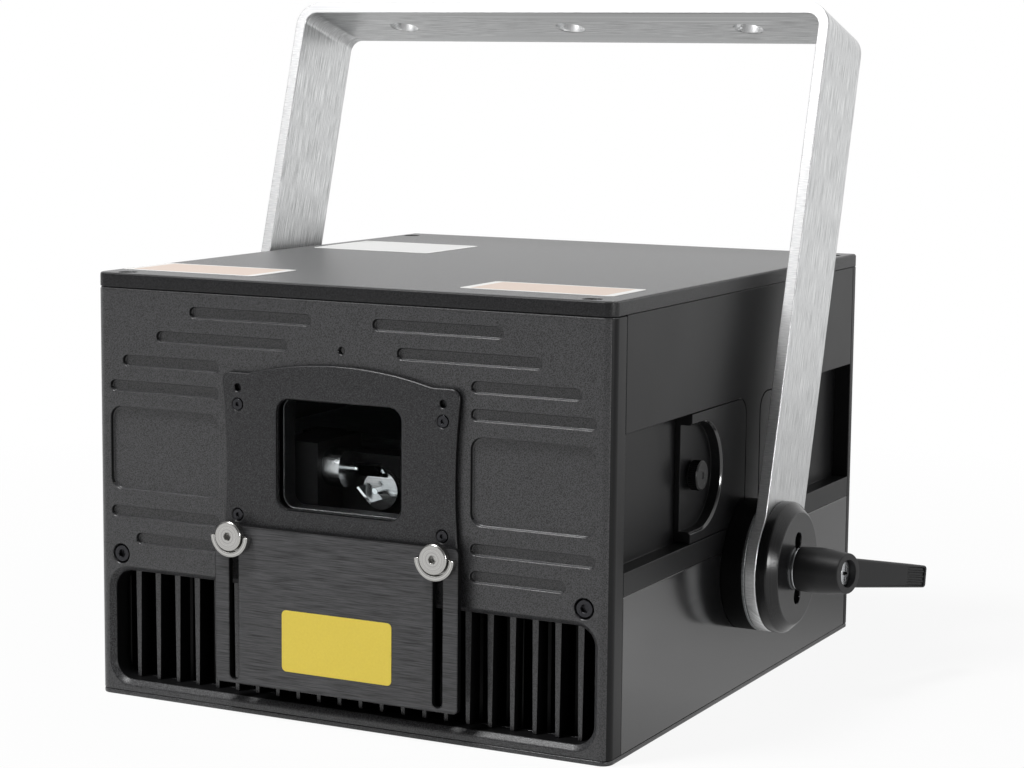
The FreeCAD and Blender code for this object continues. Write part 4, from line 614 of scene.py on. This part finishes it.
def yoke_grain(points):
    """Distance along the bar (height, bend arc, way inwards), and across it plus its depth, for rows of x, y, z."""
    y, z = points[:, 1] - HUB_AXIS[1], points[:, 2] - HUB_AXIS[2]
    height = y * sin(YOKE_LEAN) + z * cos(YOKE_LEAN)
    across = y * cos(YOKE_LEAN) - z * sin(YOKE_LEAN)
    side = np.abs(points[:, 0])
    bend_height, bend_side = YOKE_REACH - YOKE_BEND, YOKE_OUTER - YOKE_BEND
    angle = np.arctan2(np.maximum(height - bend_height, 0), np.maximum(side - bend_side, NEARLY_ZERO))
    on_top = bend_height + YOKE_BEND * pi / 2 + (bend_side - side)
    along = np.select([side < bend_side, height > bend_height], [on_top, bend_height + YOKE_BEND * angle], height)
    arc_depth = YOKE_BEND - np.hypot(height - bend_height, side - bend_side)
    depth = np.select([side < bend_side, height > bend_height], [YOKE_REACH - height, arc_depth], YOKE_OUTER - side)
    return np.column_stack([along, across + depth])


yoke_mesh = finished["yoke"].data
corners = np.empty(len(yoke_mesh.vertices) * 3, np.float32)
yoke_mesh.vertices.foreach_get("co", corners)
loops = np.empty(len(yoke_mesh.loops), np.int32)
yoke_mesh.loops.foreach_get("vertex_index", loops)
grain_map = yoke_mesh.uv_layers.new(name="grain")
grain_map.data.foreach_set("uv", yoke_grain(corners.reshape(-1, 3))[loops].astype(np.float32).ravel())
print("yoke grain measured at", len(loops), "corners")

# %% [markdown]
# ## From a grid to a mesh
# The knobs and the plates are grids of points: each row is a closed ring, and each ring is joined to the next by quads.
# The first and last rings are closed by one face each, so that the mesh has an inside and an outside, and its normals
# are then turned outwards.


# %% Put a grid into a mesh
def grid_mesh(name, grid, material):
    """Put a grid of points, closed round its second side and capped at both ends, into a mesh."""
    rows, columns = grid.shape[:2]
    index = np.arange(rows * columns).reshape(rows, columns)
    following = np.roll(index, -1, axis=1)
    quads = np.stack([index[:-1], following[:-1], following[1:], index[1:]], axis=-1).reshape(-1, 4)
    faces = quads.tolist() + [index[0, ::-1].tolist(), index[-1].tolist()]
    mesh = bpy.data.meshes.new(name)
    mesh.from_pydata(grid.reshape(-1, 3).tolist(), [], faces)
    mesh.materials.append(material)
    work = bmesh.new()
    work.from_mesh(mesh)
    bmesh.ops.recalc_face_normals(work, faces=work.faces)
    work.to_mesh(mesh)
    work.free()
    piece = bpy.data.objects.new(name, mesh)
    bpy.context.scene.collection.objects.link(piece)
    return piece


# %% [markdown]
# ## Knurled knobs
# Four thumb knobs hold the blocks in the sides. Their rims are knurled, which a smooth solid can't show. A knob is a
# profile turned round an axis: a grid with the profile along one side and the angle along the other. The knurl takes a
# little off the radius in a wave round the rim, and that wave is only on the rows of the rim.

# %% Turn the knurled knobs
KNURLS, KNURL_DEPTH, STEPS_PER_KNURL = 44, 0.28 * MM, 6
KNOB_RADIUS, NECK_RADIUS, STEM_RADIUS = 6.2 * MM, 4.5 * MM, 2 * MM
HEAD_LENGTH, NECK_LENGTH, KNOB_BEVEL = 4.4 * MM, 1 * MM, 0.5 * MM
KNURL_START, KNURL_STEP = 0.3 * MM, 0.05 * MM
DIMPLE_RADIUS, DIMPLE_DEPTH = 1.6 * MM, 0.4 * MM


def knob(node_name):
    """Profile (x, r) turned round the knob's axis; on the rim r loses a rectified sine wave of the angle."""
    low, high = map(np.array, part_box(node_name))
    centre = (low + high) / 2
    outside = 1 if centre[0] > 0 else -1
    face, root = max(abs(low[0]), abs(high[0])), min(abs(low[0]), abs(high[0]))
    head = face - HEAD_LENGTH
    neck, rim_start, rim_end = head - NECK_LENGTH, head + KNURL_START, face - KNOB_BEVEL
    profile = np.array([
        # stem and neck
        [root, STEM_RADIUS], [neck, STEM_RADIUS], [neck, NECK_RADIUS], [head, NECK_RADIUS],
        # back of the head, and the rim, whose two inner rows carry the knurl
        [head, KNOB_RADIUS - 0.4 * MM], [rim_start, KNOB_RADIUS], [rim_start + KNURL_STEP, KNOB_RADIUS],
        [rim_end - KNURL_STEP, KNOB_RADIUS], [rim_end, KNOB_RADIUS],
        # bevel and face, with a dimple in the middle
        [face - 0.1 * MM, KNOB_RADIUS - 0.45 * MM], [face, KNOB_RADIUS - 0.7 * MM], [face, DIMPLE_RADIUS],
        [face - DIMPLE_DEPTH, DIMPLE_RADIUS - 0.3 * MM], [face - DIMPLE_DEPTH, 0.2 * MM]])
    half_step = KNURL_STEP / 2
    on_rim = ((profile[:, 0] > rim_start + half_step) & (profile[:, 0] < rim_end - half_step)).astype(float)
    angle = np.linspace(0, 2 * pi, KNURLS * STEPS_PER_KNURL, endpoint=False)
    wave = KNURL_DEPTH * np.abs(np.sin(angle * KNURLS / 2))
    radius = profile[:, 1:2] - on_rim[:, None] * wave
    grid = np.stack([outside * np.broadcast_to(profile[:, :1], radius.shape),
                     centre[1] + radius * np.cos(angle), centre[2] + radius * np.sin(angle)], axis=-1)
    piece = grid_mesh(f"{node_name}_knurled", grid, knob_black)
    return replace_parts(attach(piece, node_name), node_name)


knobs = [knob(f"{side}_{end}_knob") for side in ("right", "left") for end in ("front", "rear")]
print("knobs knurled:", len(knobs), "with", KNURLS, "ridges each")

# %% [markdown]
# ## Blank plates
# Three thin self-adhesive plates of vinyl lie on the lid, and one on the shutter. They are left blank. The pale border
# of the lid's plates is not a separate piece: it is printed, so it is a pattern on the plate's own UV map, which runs
# from 0 to 1 over the plate. A fine bump stands for the vinyl's own texture.

# %% Lid plate finish
VINYL = 1.2 * MM


def printed_plate(name, field, border, width):
    """Distance to the nearest side of the UV square, compared with the border's width, picks one of two colours."""
    material = new_material(name)
    spread = add(material, "ShaderNodeUVMap", uv_map="plate").outputs[0]
    folded = add(material, "ShaderNodeVectorMath", {0: spread, 1: (0.5, 0.5, 0.0)}, operation="SUBTRACT")
    size = add(material, "ShaderNodeVectorMath", {0: folded.outputs[0]}, operation="ABSOLUTE")
    sides = add(material, "ShaderNodeSeparateXYZ", {0: size.outputs[0]})
    nearest = add(material, "ShaderNodeMath", {0: sides.outputs[0], 1: sides.outputs[1]}, operation="MAXIMUM")
    edge = add(material, "ShaderNodeMath", {0: nearest.outputs[0], 1: 0.5 - width}, operation="GREATER_THAN")
    colour = add(material, "ShaderNodeMix", {FACTOR: edge.outputs[0], FIRST: linear(field), SECOND: linear(border)},
                 data_type="RGBA")
    place = add(material, "ShaderNodeTexCoord").outputs["Object"]
    vinyl = add(material, "ShaderNodeTexNoise", {"Vector": place, "Scale": 1 / VINYL, "Detail": 3.0})
    bump = add(material, "ShaderNodeBump", {"Height": vinyl.outputs[0], "Strength": 0.2, "Distance": 0.02 * MM})
    rough = add(material, "ShaderNodeMapRange", {"Value": vinyl.outputs[0], "To Min": 0.35, "To Max": 0.5})
    shader = add(material, "ShaderNodeBsdfPrincipled", {
        "Base Color": colour.outputs[MIXED], "Roughness": rough.outputs[0], "Normal": bump.outputs[0]})
    return show(material, shader)


plate_cream = printed_plate("cream_vinyl_plate", "#cbb8ab", "#dddcda", 0.06)
plate_white = printed_plate("white_vinyl_plate", "#d3d3d2", "#e0e0df", 0.04)

# %% [markdown]
# ## Lay the plates
# A plate is a rounded outline carried up its thickness and turned in at the top edge, so that it has a visible edge
# instead of being painted on. On the lid the outline lies flat. On the shutter it stands upright and faces the front.

# %% Lay the plates
ARC_STEPS = 8
PLATE_ROUND, PLATE_EDGE = 2 * MM, 0.06 * MM
LID_PLATE_THICK, SHUTTER_PLATE_THICK = 0.15 * MM, 0.2 * MM
LID_TOP, SHUTTER_FRONT = 178.0 * MM, 141.1 * MM


def rounded_outline(left, low, right_side, high, radius):
    """Points round a rectangle whose corners are quarter circles, anticlockwise, as rows of two numbers."""
    turn = np.linspace(0, pi / 2, ARC_STEPS)
    middles = np.array([[right_side, high], [left, high], [left, low], [right_side, low]])
    middles += np.array([[-1, -1], [1, -1], [1, 1], [-1, 1]]) * radius
    angle = turn[None, :] + np.arange(4)[:, None] * pi / 2
    return (middles[:, None, :] + radius * np.stack([np.cos(angle), np.sin(angle)], axis=-1)).reshape(-1, 2)


def blank_plate(name, body, sides, foot, thickness, material, upright=False):
    """Three rings of one outline: at the foot, near the top, and turned in by the edge at the top."""
    outline = rounded_outline(*(side * MM for side in sides), PLATE_ROUND)
    middle = outline.mean(axis=0)
    inner = middle + (outline - middle) * (1 - PLATE_EDGE / np.abs(outline - middle).max())
    lift = np.array([foot, foot + thickness - PLATE_EDGE, foot + thickness])
    rings = np.stack([outline, outline, inner])
    depth = np.broadcast_to(lift[:, None, None], rings.shape[:2] + (1,))
    grid = np.concatenate([rings[..., :1], -depth, rings[..., 1:]] if upright else [rings, depth], axis=-1)
    piece = grid_mesh(name, grid, material)
    spread = (np.tile(outline, (3, 1)) - outline.min(axis=0)) / np.ptp(outline, axis=0)
    loops = np.empty(len(piece.data.loops), np.int32)
    piece.data.loops.foreach_get("vertex_index", loops)
    piece.data.uv_layers.new(name="plate").data.foreach_set("uv", spread[loops].astype(np.float32).ravel())
    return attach(piece, body)


# Left, low, right and high side of each outline, in millimetres
LID_OUTLINES = {
    "left_lid_plate": (plate_cream, (-116.2, -119.2, -51.4, -84.6)),
    "right_lid_plate": (plate_cream, (42.5, -117.2, 108.8, -84.6)),
    "rear_lid_plate": (plate_white, (-110.8, 24.2, -49.4, 74.6)),
}
SHUTTER_OUTLINE = (-24, 21.8, 26.6, 46.9)
PLATES = [blank_plate(name, "case", sides, LID_TOP, LID_PLATE_THICK, material)
          for name, (material, sides) in LID_OUTLINES.items()]
PLATES.append(blank_plate("shutter_face_plate", "shutter", SHUTTER_OUTLINE, SHUTTER_FRONT, SHUTTER_PLATE_THICK,
                          plate_yellow, upright=True))
print("blank plates:", len(PLATES))

# %% [markdown]
# ## The backdrop
# The projector stands on a white floor before a white backdrop, as a catalogue shows it. The world is white to the
# camera and through glass. To reflections it is white where the backdrop hangs, behind the object, and dim in front,
# where the camera stands in a dark room, and that keeps the black front black. To everything else it is a dim grey, so
# that the background doesn't flood the object with light.

# %% Hang the backdrop
ROOM_GREY, ROOM_MIRRORED = 0.11, 0.15
scene = bpy.context.scene
scene.view_settings.view_transform = "Standard"
scene.world = bpy.data.worlds.new("white_studio")
scene.world.use_nodes = True
scene.world.node_tree.nodes.clear()
ray = add(scene.world, "ShaderNodeLightPath")
direct = add(scene.world, "ShaderNodeMath", {0: ray.outputs["Is Camera Ray"], 1: ray.outputs["Is Transmission Ray"]},
             operation="MAXIMUM")
heading = add(scene.world, "ShaderNodeSeparateXYZ", {0: add(scene.world, "ShaderNodeTexCoord").outputs["Generated"]})
hung = add(scene.world, "ShaderNodeMapRange", {"Value": heading.outputs["Y"], "From Min": -0.2, "From Max": 0.2,
                                               "To Min": ROOM_MIRRORED, "To Max": 1.0})
mirrored = add(scene.world, "ShaderNodeMath", {0: ray.outputs["Is Glossy Ray"], 1: hung.outputs[0]},
               operation="MULTIPLY")
seen = add(scene.world, "ShaderNodeMath", {0: direct.outputs[0], 1: mirrored.outputs[0]}, operation="MAXIMUM")
level = add(scene.world, "ShaderNodeMath", {0: seen.outputs[0], 1: ROOM_GREY}, operation="MAXIMUM")
backdrop = add(scene.world, "ShaderNodeBackground", {"Color": linear("#ffffff"), "Strength": level.outputs[0]})
add(scene.world, "ShaderNodeOutputWorld", {"Surface": backdrop.outputs[0]})
print("backdrop:", len(scene.world.node_tree.nodes), "nodes")

# %% [markdown]
# ## The floor
# To the camera and in reflections the floor is mostly glow, so that it stays white, with a little paint that takes a
# soft shadow. The paint's share falls to nothing between 0.2 and 0.7 m from the middle. To all other light the floor is
# paint alone. In reflections a long patch straight ahead is dark, as if a black cloth lay there, and a patch behind the
# object is dim, a painted shadow of the object that only reflections show.

# %% Lay the floor
FLOOR_HALF = 12.0
GLOW_NEAR, GLOW_FAR = 0.92, 1.0

floor_white = new_material("white_studio_floor")
paint = add(floor_white, "ShaderNodeBsdfDiffuse", {"Color": linear("#dcdcdc")})
glow = add(floor_white, "ShaderNodeEmission", {"Color": linear("#ffffff"), "Strength": 1.0})
way_off = add(floor_white, "ShaderNodeVectorMath", {0: add(floor_white, "ShaderNodeTexCoord").outputs["Object"]},
              operation="LENGTH")
fade = add(floor_white, "ShaderNodeMapRange", {"Value": way_off.outputs["Value"], "From Min": 0.2, "From Max": 0.7,
                                               "To Min": GLOW_NEAR, "To Max": GLOW_FAR})
eye = add(floor_white, "ShaderNodeLightPath")


def dim_patch(centre, half, lowest):
    """A floor level that falls inside an ellipse: the distance from its centre, divided by its half sizes, sets it."""
    place = add(floor_white, "ShaderNodeTexCoord").outputs["Object"]
    moved = add(floor_white, "ShaderNodeVectorMath", {0: place, 1: (*centre, 0)}, operation="SUBTRACT")
    scaled = add(floor_white, "ShaderNodeVectorMath", {0: moved.outputs[0], 1: (*half, 1)}, operation="DIVIDE")
    distance = add(floor_white, "ShaderNodeVectorMath", {0: scaled.outputs[0]}, operation="LENGTH")
    return add(floor_white, "ShaderNodeMapRange", {"Value": distance.outputs["Value"], "From Min": 0.7, "From Max": 1.3,
                                                   "To Min": lowest, "To Max": 1.0}).outputs[0]


ahead = dim_patch((0.1, -1.2), (0.21, 1.0), 0.0)
behind = dim_patch((-0.1, 0.55), (0.7, 0.45), 0.05)
patches = add(floor_white, "ShaderNodeMath", {0: ahead, 1: behind}, operation="MULTIPLY")
reflected = add(floor_white, "ShaderNodeMath", {0: eye.outputs["Is Glossy Ray"], 1: patches.outputs[0]},
                operation="MULTIPLY")
watched = add(floor_white, "ShaderNodeMath", {0: eye.outputs["Is Camera Ray"], 1: reflected.outputs[0]},
              operation="MAXIMUM")
share = add(floor_white, "ShaderNodeMath", {0: watched.outputs[0], 1: fade.outputs[0]}, operation="MULTIPLY")
show(floor_white, add(floor_white, "ShaderNodeMixShader", {0: share.outputs[0], 1: paint.outputs[0],
                                                           2: glow.outputs[0]}))

floor_mesh = bpy.data.meshes.new("floor")
floor_mesh.from_pydata([(-FLOOR_HALF, -FLOOR_HALF, 0), (FLOOR_HALF, -FLOOR_HALF, 0), (FLOOR_HALF, FLOOR_HALF, 0),
                        (-FLOOR_HALF, FLOOR_HALF, 0)], [], [(0, 1, 2, 3)])
floor_mesh.materials.append(floor_white)
floor = bpy.data.objects.new("floor", floor_mesh)
scene.collection.objects.link(floor)
print("floor:", 2 * FLOOR_HALF, "m square")

# %% [markdown]
# ## The lamps
# Three large soft lamps do the modelling, one overhead, one high at the front left and one low at the right rear. The
# last one stays out of reflections, because it would blot out the lid from the left. A small lamp at the front right
# only shows in reflections, and brightens the rounded front corner. A sun lamp would be simpler, but its hard shadow
# suits a street and not a studio.

# %% Hang the lamps
MIDDLE = Vector((0, 0, 0.1))


def soft_lamp(name, place, size, watts):
    """A square area lamp at a place, turned so that its face points at the middle of the object."""
    lamp = bpy.data.objects.new(name, bpy.data.lights.new(name, "AREA"))
    lamp.data.size = size
    lamp.data.energy = watts
    lamp.location = place
    lamp.rotation_euler = (MIDDLE - Vector(place)).to_track_quat("-Z", "Y").to_euler()
    scene.collection.objects.link(lamp)
    return lamp


# Each lamp's place and size in metres, and its power in watts
LAMPS = {
    "overhead_lamp": ((-0.5, -0.75, 1.9), 0.4, 40),
    "front_left_lamp": ((-1.0, -1.73, 1.6), 0.85, 7.5),
    "right_lamp": ((1.6, 0.9, 0.5), 0.8, 9),
    "corner_lamp": ((1.9, -0.8, 0.4), 0.3, 13),
}
lamps = {name: soft_lamp(name, *setting) for name, setting in LAMPS.items()}
lamps["right_lamp"].visible_glossy = False
lamps["corner_lamp"].visible_diffuse = False
print("studio lamps:", len(lamps))
